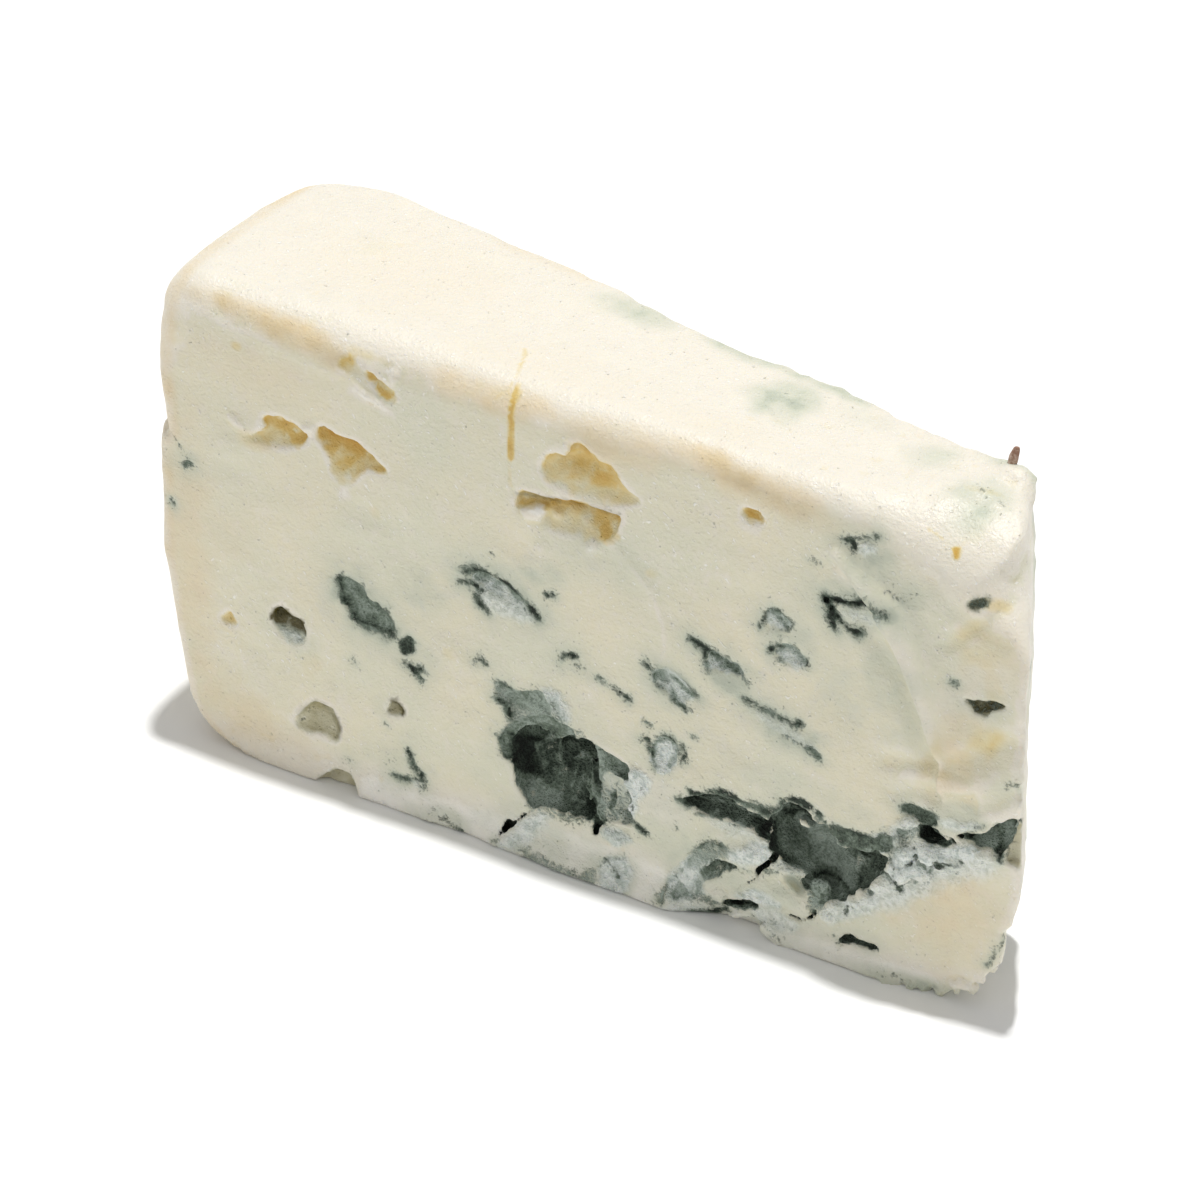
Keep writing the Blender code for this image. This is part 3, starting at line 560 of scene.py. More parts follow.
# wider patches of mould: outline, how dark, width of the soft border and of the tint round it in mm
patches = {
    "lowGrey": ([(59.6, 5.4), (61, 7.4), (63, 9.2), (64.8, 8.8), (64, 7.4), (62, 6.2), (60.6, 4.8)],
        0.5, 0.7, 1.6),
    "lowStreak": ([(57.2, 0.6), (57.4, 2.2), (60, 2.9), (62.6, 2.2), (64.2, 1.8), (62, 1.1), (59, 1.6)],
        0.45, 0.6, 1.4),
    "footGrey": ([(40.6, 1.2), (43, 1.4), (47, 0.6), (50, 1.4), (51.4, 0), (50, -1.5), (43, -1.5)],
        0.42, 0.8, 1.4),
    "archBand": ([(69.6, 8.4), (70.4, 9.6), (72, 9.9), (73.4, 9.2), (73.8, 7.6), (73.2, 7.2), (72.6, 8.4),
        (71, 8.6)], 0.32, 0.4, 0.9),
    "upperBlot": ([(20.4, 25), (22.4, 25.3), (23, 24), (24.1, 22.8), (25.7, 22.6), (25.9, 21.6), (26.6, 20.3),
        (25.2, 20.1), (23.6, 20.1), (22.3, 20.4), (21.8, 21.5), (20.5, 22.7), (20.8, 24)], 0.95, 0.9, 1.8),
    "clusterA": ([(26.8, 19.6), (27.6, 19.9), (28.2, 20.6), (28.6, 20.4), (28.6, 19.4), (28.2, 18.8),
        (27.5, 18.4)], 0.9, 0.5, 1),
    "lipGrey": ([(41.4, 5.2), (43, 6.6), (46, 7.2), (49, 7.2), (49.6, 6), (46, 5.4), (43.6, 5)], 0.4, 0.6, 0.8),
    "smearA": ([(38.4, 19.2), (40, 18.9), (41.5, 19.1), (43.2, 19.8), (44.4, 19.7), (45.5, 19.1), (46.3, 17.6),
        (47.4, 16.1), (48.6, 15.6), (46, 14), (40, 13), (39.4, 15.3), (39.3, 16.4), (38.6, 17.2)],
        0.45, 1.2, 0.9),
    "foldRidge": ([(48.4, 15.6), (50.6, 15.4), (50.8, 12), (50.6, 8), (51.6, 6.9), (50, 6.6), (48.8, 8),
        (49, 12)], 0.7, 0.3, 0.2),
    "rimGrey": ([(75.6, 14.4), (75.8, 16), (78, 15.9), (80.6, 15.9), (82, 16.6), (82.8, 15.6), (81.8, 14.2),
        (79, 13.4), (77, 13.6)], 0.72, 0.45, 0.9),
    "archRight": ([(73, 9.2), (74.4, 8), (75, 6), (74.2, 4.6), (73.4, 5.6), (73.4, 7.4)], 0.3, 0.4, 0.6),
    "rimA": ([(38.9, 14), (40, 14), (40.2, 12), (40.2, 10), (39, 10.2), (38.6, 12)], 0.5, 0.4, 0.8),
    "footA": ([(50.3, 5.8), (51.2, 6.6), (53.2, 6.8), (53.6, 5.6), (52.4, 5), (50.8, 4.9)], 0.35, 0.6, 0.8),
    "limbRimGrey": ([(82, 14), (82.6, 16.6), (84.2, 18.6), (85.2, 18.6), (84.4, 17), (83.4, 15), (82.8, 13.2)],
        0.4, 0.5, 0.8),
    "lowGreen": ([(61.2, 6.2), (62.6, 7.9), (63.6, 9), (64.8, 8.5), (63.8, 7.3), (62, 6)], 0.5, 0.5, 0.9),
    "fuzzyFoot": ([(73, 8), (74.4, 7.6), (75.6, 6.8), (74.8, 5.6), (73.8, 4.4), (73.4, 5.6)], 0.45, 0.5, 0.6),
}

# bluish white bloom and crumbs of young mould: outline, strength, width of the soft border in mm
blooms = {
    "heapDust": ([(80.4, 9.4), (81.6, 12.4), (83.2, 15.8), (85, 17.2), (88, 17), (91, 18.8), (94, 18.4),
        (93, 16.4), (89.6, 14.4), (86.6, 12.2), (84, 9.6), (82, 8)], 0.62, 1.6),
    "heapCore": ([(81.2, 11.8), (83, 15.4), (85, 17.2), (87.6, 17.2), (89.6, 18.4), (92.6, 18.8), (91, 17),
        (88, 15.6), (86, 13.8), (83.6, 11.4)], 0.9, 0.8),
    "tongueRim": ([(64.6, 8.4), (66.4, 9.8), (68, 11.2), (69.6, 10.6), (69.4, 9.3), (68.2, 8.4), (66.4, 7.3),
        (64.8, 7.2)], 0.85, 0.7),
    "tongueBack": ([(62, 11.6), (65, 12), (68, 11.5), (67, 10.6), (64, 10.6)], 0.45, 0.8),
    "crackSide": ([(38.6, 0), (40.8, 2.8), (42.4, 4.8), (44.4, 5.2), (43.2, 3.4), (41.6, 1.6), (40.6, 0)],
        0.7, 0.8),
    "foldSide": ([(53.4, 14.4), (54.8, 14.6), (56, 13.6), (54.8, 11.8), (54.4, 8.8), (53.4, 8.6), (53.6, 11.4),
        (53.1, 12.6)], 0.8, 0.5),
    "foldUnder": ([(50.1, 5.2), (51.4, 6.5), (53.4, 6.6), (54.2, 5.6), (52.4, 4.7)], 0.75, 0.6),
    "smearTop": ([(43.2, 18), (43.4, 20), (45.4, 20), (46.6, 18.4), (46.9, 16.4), (45.2, 17)], 0.8, 0.9),
    "slitSide": ([(65.4, 3.2), (66.2, 4.6), (68, 5.2), (70.2, 4.6), (70.4, 3.8), (68.6, 3.6), (67, 3.4)],
        0.7, 0.5),
    "footSheet": ([(66.8, 2.2), (68, 3.4), (71, 3.2), (72.6, 2.6), (71.4, 1.2), (69, 1.2)], 0.5, 0.8),
    "cornerSheet": ([(57.8, -1), (58.4, 0.9), (61, 1.1), (62.4, 0.4), (60.6, -1)], 0.5, 0.8),
    "archTopLight": ([(69.4, 8.2), (70.4, 9.6), (72.2, 9.8), (73.2, 8.8), (72.6, 8.3), (70.8, 8.3)], 0.42, 0.5),
    "rimBlue": ([(81, 15.8), (82, 17.6), (84, 19.6), (85.2, 19.6), (85, 18.6), (83.8, 17.4), (82.8, 15.6)],
        0.62, 0.6),
    "tearBloom": ([(87.4, 20.1), (88.6, 21.2), (91, 22), (92.6, 21.8), (91, 20.5), (89.4, 19.7)], 0.6, 0.6),
    "rimBeads": ([(80.4, 15), (81, 16.8), (82.2, 16.8), (82.3, 15), (81.4, 14.2)], 0.6, 0.5),
    "arcBloom": ([(36, 29.6), (38, 30), (40.4, 29.2), (43, 28), (42, 27), (39, 26.8), (36.6, 27.8)], 0.55, 0.8),
    "lowCrumbs": ([(74.6, 4.4), (75.6, 6.4), (77.2, 7.6), (79.2, 8), (80.4, 10.4), (82, 11), (83, 10.2),
        (81.4, 8.4), (79, 6.2), (76.6, 4.6)], 0.65, 0.8),
    "lowSmear": ([(58.2, 1.6), (58, 3.4), (59.4, 4.6), (60.8, 5.9), (62, 6.6), (61.2, 4.4), (62, 2.8),
        (61, 1.8), (59.6, 1.2)], 0.8, 0.6),
    "slitWall": ([(65.6, 3.4), (66.4, 4.6), (68.6, 4.6), (70.4, 4), (68.6, 3.6), (67, 3.4)], 0.55, 0.5),
    "ring": ([(50.8, 0.2), (50.6, 2.2), (51.6, 3.4), (53.4, 3.4), (54.2, 2), (53.8, 0.2), (52.4, -0.8)],
        0.75, 0.5),
    "shoe": ([(56.5, 15.4), (56.3, 17.4), (57, 18.8), (58, 19), (58.8, 17.6), (58.2, 15.4), (57.2, 15)],
        0.9, 0.35),
    "thinBlue": ([(66.5, 25.9), (70, 25.7), (72.6, 25.2), (74.4, 23.9), (71, 23.9), (67.6, 25)], 0.3, 0.9),
    "forkBloom": ([(78.2, 48.6), (79.4, 49), (80.2, 48.4), (79.2, 47.6), (78.2, 47.8)], 0.6, 0.5),
    "branchBloom": ([(75.6, 40.6), (79, 41.1), (81.8, 41.4), (80, 39.8), (77.4, 39.9)], 0.35, 0.7),
    "forkPink": ([(28.4, 3.8), (29.6, 3.9), (29.8, 2.8), (28.8, 2.6)], 0.4, 0.4),
}

# how light the mould lies in the pockets, 0 black to 1 pale dust: partly the mould's own tone, partly
# painted shade in the deep and overhung places and under the ledges, and painted light along lit rims and
# ledges; ovals (centre, half lengths, tilt, tone) and thin lines (path, width, tone), drawn as they look from
# outside
# the oval round (41.4, 11.6) of tone 0 is painted shade in the deepest corner of the first pocket
mouldToneShadingAreas = [
    ((42.4, 17.6), (4.2, 2.2), -8, 0.66), ((45, 18.6), (1.6, 1.2), -10, 0.95), ((39.6, 16.4), (0.9, 1),
    0, 0.15), ((39, 18.9), (0.9, 0.4), 0, 0.2), ((43.4, 15.1), (4, 1.3), 20, 0.66), ((39.4, 12.4), (0.9, 1.8),
    0, 0.85), ((41.4, 11.6), (1.7, 2.3), 0, 0), ((45.8, 11.6), (3, 2.6), -10, 0.36), ((47.4, 14.2), (2.2, 1.5),
    20, 0.6), ((43.4, 7.6), (3.2, 2), -8, 0.95), ((47.4, 7.6), (2, 1.6), 20, 0.56), ((46, 9.4), (2.4, 0.9),
    0, 0.46), ((49.2, 9), (0.5, 2.2), 4, 0.2), ((51.2, 14), (2, 1.1), -14, 0.62), ((52.6, 12.9), (0.8, 0.6),
    0, 0.18), ((64.6, 13.4), (4.4, 0.9), 3, 0.42), ((69.6, 12.2), (1.3, 2.4), 10, 0.08), ((72.2, 15.8),
    (1.8, 0.7), 0, 0.2), ((73, 12.4), (2.8, 2.8), -20, 0.78), ((76, 12.8), (1.8, 2.4), 0, 1.1), ((77.8, 11.2),
    (1.6, 2.2), 10, 1.2), ((80.8, 13), (1.2, 1.4), 20, 0.5), ((76.4, 8.7), (1.5, 1.1), 0, 0.75), ((74.8, 7.2),
    (1.6, 2.6), -14, 0.85), ((73.9, 9.8), (1.2, 1), 0, 0.8), ((86.6, 18.3), (1, 1.2), -10, 0), ((88.6, 18.4),
    (0.9, 0.6), 0, 0.55), ((84.9, 20.3), (1.8, 0.7), -10, 0.5), ((87.6, 20.1), (0.9, 0.6), 0, 0.55),
    ((83.9, 18.3), (1.1, 1), 45, 0.85), ((92.8, 20.4), (1.6, 1.1), 35, 0.95), ((94.1, 19.4), (0.5, 1.2),
    0, 0.08), ((95.3, 21.2), (0.7, 2.2), 0, 1), ((73.4, 15.2), (1.1, 0.8), -28, 1.25), ((63, 4.6), (1.4, 0.8),
    40, 0.8), ((78, 14.8), (1.4, 0.6), 0, 0.8), ((83.4, 17), (1.2, 1), 50, 0.8),
]
# lines of tone 1 are painted light along lit edges and rims; the line of tone 0 just under the ledge is a painted
# shadow
mouldToneShadingLines = [
    ([(39.6, 14.3), (41, 15), (43, 16), (45.5, 16.6), (46.6, 16.3), (47.6, 15.6)], 0.16, 1), ([(40, 13.3),
    (42, 13.7), (43.6, 13.9), (44.6, 13.7), (46.2, 15), (47.6, 15.3)], 0.28, 0), ([(48.8, 14.3), (49.5, 12.4),
    (49.8, 9.4), (49.9, 7.6), (51.2, 7.1)], 0.16, 1), ([(45, 6.9), (46.4, 8.6), (47.8, 9.6), (48.6, 11.6)],
    0.2, 0.62), ([(47.4, 7), (48.4, 8.6)], 0.18, 0.8), ([(61.4, 14.1), (64, 14.5), (67, 14.3), (68.8, 14),
    (70, 15.1), (70.8, 16.1), (72.4, 16.3)], 0.2, 0.85), ([(68.4, 12.4), (69.4, 11.2), (69.8, 10)], 0.4, 0),
    ([(74.6, 9.4), (76, 10), (77.6, 9.6), (78.2, 8.4)], 0.2, 0.15), ([(73.4, 8), (74.2, 6.4), (74, 5)],
    0.22, 0.12), ([(74.4, 9.6), (75, 7.6), (74.8, 5.8)], 0.14, 0.3), ([(75.9, 9.2), (75.8, 7.4)], 0.14, 0.35),
    ([(78.8, 12.4), (79.4, 10.8), (79, 9.4)], 0.2, 0.3),
]

# white lips and flakes that the blade turned up round the eyes, as the blooms; the patches on the long
# ridge and along the foot are painted light, a lit ridge crest and the light the white floor throws up
lipsAndLitPatches = {
    "slotLump": ([(41.9, 39.8), (42.6, 40.6), (43.6, 41.3), (44.3, 40.8), (43.6, 40), (42.6, 39.4)], 0.9, 0.35),
    "slotLip": ([(48.6, 37.6), (49.2, 38.8), (49.8, 39), (49.8, 38), (49.2, 37.3)], 0.8, 0.35),
    "slantLip": ([(26.1, 50.2), (26.6, 51.2), (27.4, 51.7), (27.4, 51), (26.8, 50.2)], 0.8, 0.3),
    "ovalEnd": ([(8, 39.4), (9.2, 38.8), (9.8, 38.2), (9.2, 38.6)], 0.7, 0.4),
    "slantFlakes": ([(21.6, 47), (23, 47.4), (26, 46.4), (27.4, 45.4), (25.4, 45.6), (23, 46.4)], 0.7, 0.5),
    "wingFlakes": ([(16.4, 40.8), (17.4, 41.8), (18, 41.4), (17.4, 40.6)], 0.7, 0.4),
    "wingFoot": ([(20.4, 35.2), (21.4, 35.6), (22, 34.8), (21, 34.2)], 0.7, 0.5),
    "smallLip": ([(64.8, 46.4), (66.4, 46.2), (67.8, 46.2), (67, 45.6), (65.4, 45.7)], 0.6, 0.4),
    "tipWhite": ([(86, 34), (89, 38), (92, 41), (95, 40), (95, 36.6), (91, 36), (88, 32)], 0.05, 1.6),
    "shoulderWhite": ([(80, 50.6), (84, 48.2), (88, 45.6), (93, 45.2), (95.6, 48.6), (95, 51), (88, 52)],
        0.45, 3),
    # painted highlight on the long ridge's lit crest
    "ridgeHighlight": ([(74.6, 45), (78, 46), (82.4, 41.8), (85.6, 36), (87.8, 30), (86.6, 29.6), (83.6, 36),
        (80, 41)], 0.55, 1),
    # painted light: the three foot patches whiten the base for the light thrown up by the white floor
    "footBounceLightLeft": ([(3, 3.2), (10, 3), (22, 3.8), (22, -1.2), (6, -1)], 0.6, 2.6),
    "footBounceLight": ([(22, 3.8), (32, 3.6), (44, 4.8), (56, 5), (66, 2.6), (76, 2.4), (88, 3.4), (88, 0), (72, -1),
        (56, -2), (34, -1.4), (22, -1.2)], 0.82, 2.6),
    "footRightBounceLight": ([(74, 1.8), (78, 1.6), (84, 1.6), (88, 3), (92, 5), (91, 3), (86, 0.6), (80, -0.2),
        (75, 0.4)], 0.4, 1),
    "underPocket": ([(70, 1.2), (72, 3), (76, 3.4), (76, 1.6), (73, 0.4)], 0.5, 0.8),
    "besideFold": ([(54, 14.6), (57, 14.4), (61, 13.6), (60, 10), (57, 9), (55, 10.4)], 0.4, 1.6),
}

# honey coloured corners of the eyes, as the blooms
honeyPools = {
    "wideHeart": ([(49, 45.6), (49.4, 47.4), (51.6, 47.8), (52, 46.2), (50.4, 45)], 0.95, 1.4),
    "wideTop": ([(46.8, 47), (47.2, 49), (48.6, 49), (48.8, 47.2)], 0.8, 1),
    "slotHeart": ([(50, 39.4), (50.2, 41.2), (51.6, 42), (52, 40.4), (51, 39.2)], 0.95, 0.8),
    "slotLeft": ([(41, 40.4), (41.6, 41.8), (43.6, 42), (42.4, 40.8)], 0.8, 0.7),
    "wingFold": ([(20, 37.4), (20.4, 38.8), (22.2, 39.8), (22.6, 39), (21.4, 37.4)], 0.85, 0.9),
    "ovalRing": ([(13.4, 40.4), (15.6, 40.4), (16.8, 39.9), (16, 38.9), (14.4, 38.4), (15.6, 39.5)], 0.7, 0.6),
    "slantHeart": ([(25, 48.9), (26.4, 48.7), (27.2, 48.2), (26.8, 47.4), (25.8, 47.8)], 1, 0.5),
    "smallHeart": ([(65.5, 47.7), (66.2, 48.3), (67.7, 48.1), (67.9, 47.5), (66.4, 47.3)], 1, 0.35),
    "edgeHeart": ([(88, 51.2), (89.2, 51.4), (89, 50.6), (88.6, 50)], 1, 0.3),
}
# brown shadows at the eyes' rims: line, width in mm, strength
brownLines = {
    "lowRim": ([(18.4, 9.3), (19.5, 8.6), (20, 7.2), (19.9, 5.9)], 0.5, 0.4),
    "tipShade": ([(95.2, 18.8), (95.4, 20.6), (95.8, 22.6)], 1.1, 0.25),
    "oliveShade": ([(71.2, 7.6), (72.2, 7.5), (72.6, 6.7)], 1, 0.2),
    "lowBrow": ([(15.2, 6.8), (16.2, 8.2), (17.4, 9.3)], 0.4, 0.2),
    "darkBrow": ([(12.2, 17.4), (12.8, 18.6), (14, 18.9), (14.8, 18.3), (15.9, 18.2)], 0.45, 0.9),
    "slotBrow": ([(41, 41.6), (43, 42.2), (46.2, 42.3), (47.4, 42.8), (52.3, 43)], 0.2, 0.3),
    "oliveBrow": ([(26.2, 12.5), (27, 12.6), (27.7, 11.9), (27.5, 11.3)], 0.35, 0.55),
}
# honey seams that run down from the top edge: line, width in mm, strength
seams = {
    "seam": ([(41.4, 54.6), (40.8, 52.6), (40.3, 50.6), (40.3, 48), (40.3, 45.4)], 0.6, 0.85),
    "seamFoot": ([(40.3, 45.6), (40.2, 43.6), (40.3, 42.2)], 0.35, 0.3),
    "seamTwig": ([(40, 52.6), (39, 52), (38.6, 51.4)], 0.3, 0.35),
    "edgeForkA": ([(88.6, 51.2), (89.4, 52.4), (89.8, 53.8)], 0.22, 0.6),
    "edgeForkB": ([(88.2, 51.2), (87, 52), (85.6, 52.6)], 0.2, 0.45),
}

# colour lying in the paste, with some painted shade: centre, half lengths in mm, tilt in degrees, strength
tints = {
    "green": [((60, 9), (13, 8), 0, 0.3), ((44, 3.4), (10, 4.4), 0, 0.36), ((70, 2.6), (9, 3.6), 0, 0.4),
        ((38.5, 30), (6, 4.2), -10, 0.75), ((29, 26), (5, 3.4), 20, 0.35), ((23.5, 22.5), (5, 4.2), -40, 0.55),
        ((29, 18), (3.4, 3.2), -30, 0.45), ((43, 33), (3.6, 2.2), 20, 0.6), ((47, 24), (3.6, 2.2), 0, 0.4),
        ((58, 25.5), (4.4, 3.2), -25, 0.5), ((64, 29), (5, 3.4), -25, 0.6), ((70, 35), (4.4, 4.4), 0, 0.55),
        ((71, 24.5), (5.6, 2.6), -10, 0.7), ((78, 41), (6.4, 4.2), 10, 0.7), ((79.5, 46.5), (4.6, 3.8),
        0, 0.65), ((83.5, 44.5), (2.8, 2.2), 0, 0.5), ((57.6, 17.6), (3.6, 3.4), 0, 0.45), ((44, 12),
        (8.4, 9.4), 0, 0.35), ((47, 2), (9, 3), -6, 0.35), ((62, 6), (6, 6), 30, 0.6), ((69, 4.5), (6, 3),
        0, 0.5), ((75, 11), (10, 8), 0, 0.3), ((88, 20.5), (6, 3.4), 18, 0.5), ((27.5, 5), (4, 3.6), 0, 0.35),
        ((32, 0.6), (4.4, 1.8), 0, 0.5), ((14.6, 16.5), (3.6, 3.2), 0, 0.3), ((2.9, 32.2), (2.6, 2.2), 0, 0.5),
        ((52.4, 1.4), (3.4, 3.4), 0, 0.5), ((26.4, 11.6), (2.4, 2), 0, 0.3), ((79, 3.4), (4, 2), 0, 0.35),
        ((91.5, 35), (3.6, 2), 8, 0.35), ((50.5, 37), (8, 3.6), 0, 0.2), ((61, 20), (9, 6), 0, 0.15),
        ((82.5, 33), (5, 7), 20, 0.42), ((68, 4.6), (2.2, 0.8), 10, 0.8), ((72, 7.3), (1.7, 1.2), -30, 1.1),
        ((77, 31), (5, 6), 0, 0.25), ((72, 18.6), (9, 2.6), 0, 0.25)],
    # yellow: the ovals round (87.6, 26.6), (91.6, 30.4) and (86.6, 27) are painted shade in the folds by the long
    # ridge
    "yellow": [((87.6, 26.6), (5, 1), 14, 0.3), ((91.6, 30.4), (4.4, 1), 36, 0.3), ((24.4, 51.6), (3.4, 1),
        0, 0.3), ((91.5, 41), (4.4, 4.8), 0, 0.26), ((93, 36.8), (3, 3), 0, 0.22), ((86.6, 27), (1.6, 5.4),
        -14, 0.3), ((17, 13), (2.2, 3.8), 25, 0.2), ((11.6, 37.8), (4.4, 1.4), 8, 0.35), ((24.6, 33.9),
        (1.4, 1.3), 0, 0.22), ((92.6, 31.2), (3, 2.4), 30, 0.55), ((89.4, 42), (4.2, 1.6), 50, 0.35),
        ((93.4, 46.6), (2.6, 1.2), 20, 0.45), ((57.4, 51.2), (6, 1.4), 10, 0.12), ((17, 3.8), (4.4, 1.8),
        10, 0.12), ((33.3, 20.6), (1.4, 1), 0, 0.25), ((48.4, 21.4), (1.4, 1.2), 0, 0.12), ((55.6, 37.4),
        (1.2, 0.8), 20, 0.3), ((9, 47.8), (0.8, 0.6), 0, 0.5), ((6.9, 14.8), (2, 1.6), 0, 0.25), ((52, 4.8),
        (5, 1), 12, 0.12), ((72, 7.2), (1.3, 0.9), -30, 0.22), ((63, 9.6), (5, 1.2), 8, 0.1)],
    # brown: painted shade along the top edge, where the cut face rounds over
    "brown": [((11, 51.2), (8, 1.8), -8, 0.09), ((20, 50.2), (6, 1.3), -10, 0.08), ((29, 50.8), (5, 1.8),
        0, 0.07), ((49, 50.8), (6, 1.6), 6, 0.04), ((67, 50.8), (7, 1.8), -12, 0.09)],
    # cream: the oval round (89, 27) is painted shade on the curved fold by the long ridge
    "cream": [((14, 51.6), (11, 2.4), -8, 1), ((38, 51.6), (11, 2.4), 2, 0.7), ((66, 51.4), (12, 2.8),
        -10, 0.9), ((52, 50.8), (9, 3), 0, 0.6), ((88.5, 10), (8, 6), 25, 0.5), ((3, 20), (3.4, 22), 0, 0.45),
        ((8, 4.6), (9, 4), -20, 0.5), ((89, 27), (3.2, 6.5), -12, 0.55), ((92.5, 41.5), (4.5, 7), 0, 0.24),
        ((72, 50), (4.6, 1.6), -20, 0.35), ((12, 46), (8, 4), 0, 0.25), ((6, 26), (5, 4), 0, 0.2)],
}


def ovalPath(centre, half, tiltDeg, seed, points=14):
    # an uneven oval outline
    turn = math.radians(tiltDeg)
    path = []
    for i in range(points):
        angle = 2 * math.pi * i / points
        swell = 1 + 0.22 * float(noiseAt(math.cos(angle), 0, math.sin(angle), 0.8, seed))
        along, across = half[0] * swell * math.cos(angle), half[1] * swell * math.sin(angle)
        path.append((centre[0] + along * math.cos(turn) - across * math.sin(turn),
                     centre[1] + along * math.sin(turn) + across * math.cos(turn)))
    return path


# openings of the back face: centre, half length, half height, tilt, depth and kind
backOpenings = {
    "backPocket": ((58, 30), (5.4, 3.6), 20, 4.2, "mould"),
    "backPocketFold": ((65, 33), (4, 1.6), 24, 3, "mould"),
    "backLong": ((36, 20), (5, 1.5), -18, 3, "mould"),
    "backLow": ((72, 13), (4, 2.2), 8, 3, "mould"),
    "backEyeWide": ((30, 40), (4.4, 1.8), -6, 3.6, "eye"),
    "backEyeRound": ((16, 28), (2.2, 1.9), 0, 3, "eye"),
    "backEyeLow": ((22, 9), (2.4, 1.6), 12, 2.8, "brown"),
    "backNick": ((46, 37), (2.2, 0.9), 15, 1.2, "pale"),
    "backNickLow": ((50, 16), (1.9, 1.2), -20, 1.1, "pale"),
    "backNickTip": ((80, 30), (2.4, 1), 30, 1.2, "pale"),
}
backShape = {"leanMm": 0.15, "lowShare": 0.4, "rimMm": 1.1, "raggedMm": 0.6}
backBloomMm = (1.6, 1.3)     # how far the bloom runs on round the back's mouldy openings

# lumps left standing in the hollows: centre x, depth, z, half sizes and tilt, all in mm and degrees
lumps = {
    "foldLump": ((51.9, 2.3, 9.9), (1.9, 1.6, 2.3), 12),
    "smearRidge": ((43.6, 0.9, 17.6), (2.4, 0.5, 0.5), -16),
    "smearRidgeLow": ((42, 1.1, 15.6), (2.6, 0.5, 0.45), 20),
    "slotLump": ((43.1, 0.4, 40.4), (1.5, 1, 1), 30),
    "slotFold": ((45.4, 0.9, 41.4), (1, 0.7, 0.5), -50),
    "slotLipLump": ((49.3, 0.1, 38.3), (0.9, 0.4, 0.6), 40),
    "slantFlake": ((27.2, 0.1, 50.2), (0.8, 0.4, 0.35), 60),
    "slantFlakeLow": ((24.4, 0, 47), (1.5, 0.35, 0.4), -20),
    "ovalFlake": ((8.8, 0, 39.2), (1, 0.35, 0.45), -30),
    "wingFlake": ((17.2, 0.1, 41.2), (0.7, 0.35, 0.4), 10),
    "foldBead": ((52.8, 0.9, 8.6), (0.7, 0.6, 0.6), 0),
    "foldChip": ((54.3, 0.5, 10.4), (0.6, 0.7, 1.7), -8),
    "ridgeA": ((49.9, 1.6, 10.8), (0.4, 1.6, 4.2), 6),
    "floorLumpA": ((42.4, 5.2, 8.6), (2.4, 2, 1.8), 25),
    "floorLumpB": ((46.4, 5.6, 8.2), (2.2, 2.2, 1.6), -15),
    "archChip": ((73.4, 0.8, 15.2), (1.1, 0.9, 0.6), -28),
    "rimBeadA": ((78.2, 0.9, 14.6), (1.6, 1, 0.9), 8),
    "rimBeadB": ((80.1, 0.8, 14.9), (1.2, 0.9, 0.8), 20),
    "rimBeadC": ((81.7, 0.5, 15), (0.75, 0.7, 0.7), 0),
    "rimBeadD": ((76.6, 0.7, 15.2), (0.9, 0.8, 0.6), 0),
    "greyLump": ((71.5, 0.5, 9), (2.2, 0.9, 0.8), 4),
    "creamLump": ((71.2, 0.1, 5.5), (2.9, 0.55, 1.3), -14),
    "archFlank": ((74.7, 1, 6.8), (1.5, 0.9, 2.6), -14),
    "curlSmall": ((66.3, 0.1, 4.5), (0.6, 0.4, 0.5), 30),
    "slitFlap": ((66.2, 0, 1.5), (1.9, 0.5, 0.5), 22),
    "footFlap": ((69.6, -0.1, 0.9), (1.8, 0.4, 0.7), -24),
    "floorLumpC": ((75.6, 4.4, 9.3), (2.4, 2, 1.2), 20),
    "floorLumpD": ((78.6, 4.2, 11.6), (1.1, 1.6, 2), 5),
    "bridge": ((84.6, 1.6, 18.4), (1.2, 1.2, 0.8), 35),
    "curl": ((84, 0.2, 14.8), (1.3, 0.9, 1.6), 28),
    "heapMain": ((86.5, 0.3, 16.1), (2, 1.1, 1.3), -8),
    "heapFlap": ((88.9, 0.1, 15.9), (1.3, 0.5, 0.5), -12),
    "heapLow": ((82.9, 0.3, 12.9), (1.3, 0.8, 1), 20),
    "heapFoot": ((81.3, 0.3, 10.8), (1.3, 0.7, 0.6), 35),
    "heapFill": ((85.4, 0.4, 13.9), (1.3, 0.7, 0.9), 30),
    "tipHeapA": ((90.8, 0.2, 18.2), (1.6, 0.8, 0.8), 20),
    "tipHeapB": ((93.2, 0.2, 18.5), (1.4, 0.6, 0.5), -10),
    "lowHeapA": ((76.6, 0.2, 6.5), (1.3, 0.8, 0.8), 30),
    "lowHeapB": ((78.6, 0.3, 8), (1.2, 0.7, 0.7), 40),
    "tongueLump": ((66.8, 0.2, 9.1), (3, 0.8, 1.3), 20),
    "crackLip": ((42.6, 0.1, 3.2), (2.4, 0.45, 0.8), 48),
    "footLump": ((51.9, 0.2, 5.8), (1.7, 0.6, 0.8), 8),
    "wallFlap": ((54.5, 0, 12.9), (0.6, 0.3, 1.5), 18),
    "rimBlueA": ((82.6, 0.1, 16.8), (0.9, 0.6, 0.8), 30),
    "rimBlueB": ((84, 0.1, 18.9), (1, 0.6, 0.7), 40),
    "tearBeadA": ((90.2, 0, 20.8), (1, 0.5, 0.5), 15),
    "tearBeadB": ((91.9, 0, 21.4), (0.9, 0.45, 0.5), 35),
    "hangingBead": ((88.2, 1.1, 19.3), (1.3, 0.9, 0.55), -5),
}
# lumps on the outer edges, at their real places
edgeLumps = {
    "tipCrest": ((88.6, 11, 52.8), (1.9, 1.5, 1.3), 0),
    "tipCrestSmall": ((89.5, 10.2, 51.6), (1.2, 1.5, 1.6), 0),
    "tipCrestEdge": ((86.6, 12, 52.6), (1.1, 0.9, 0.8), 0),
}
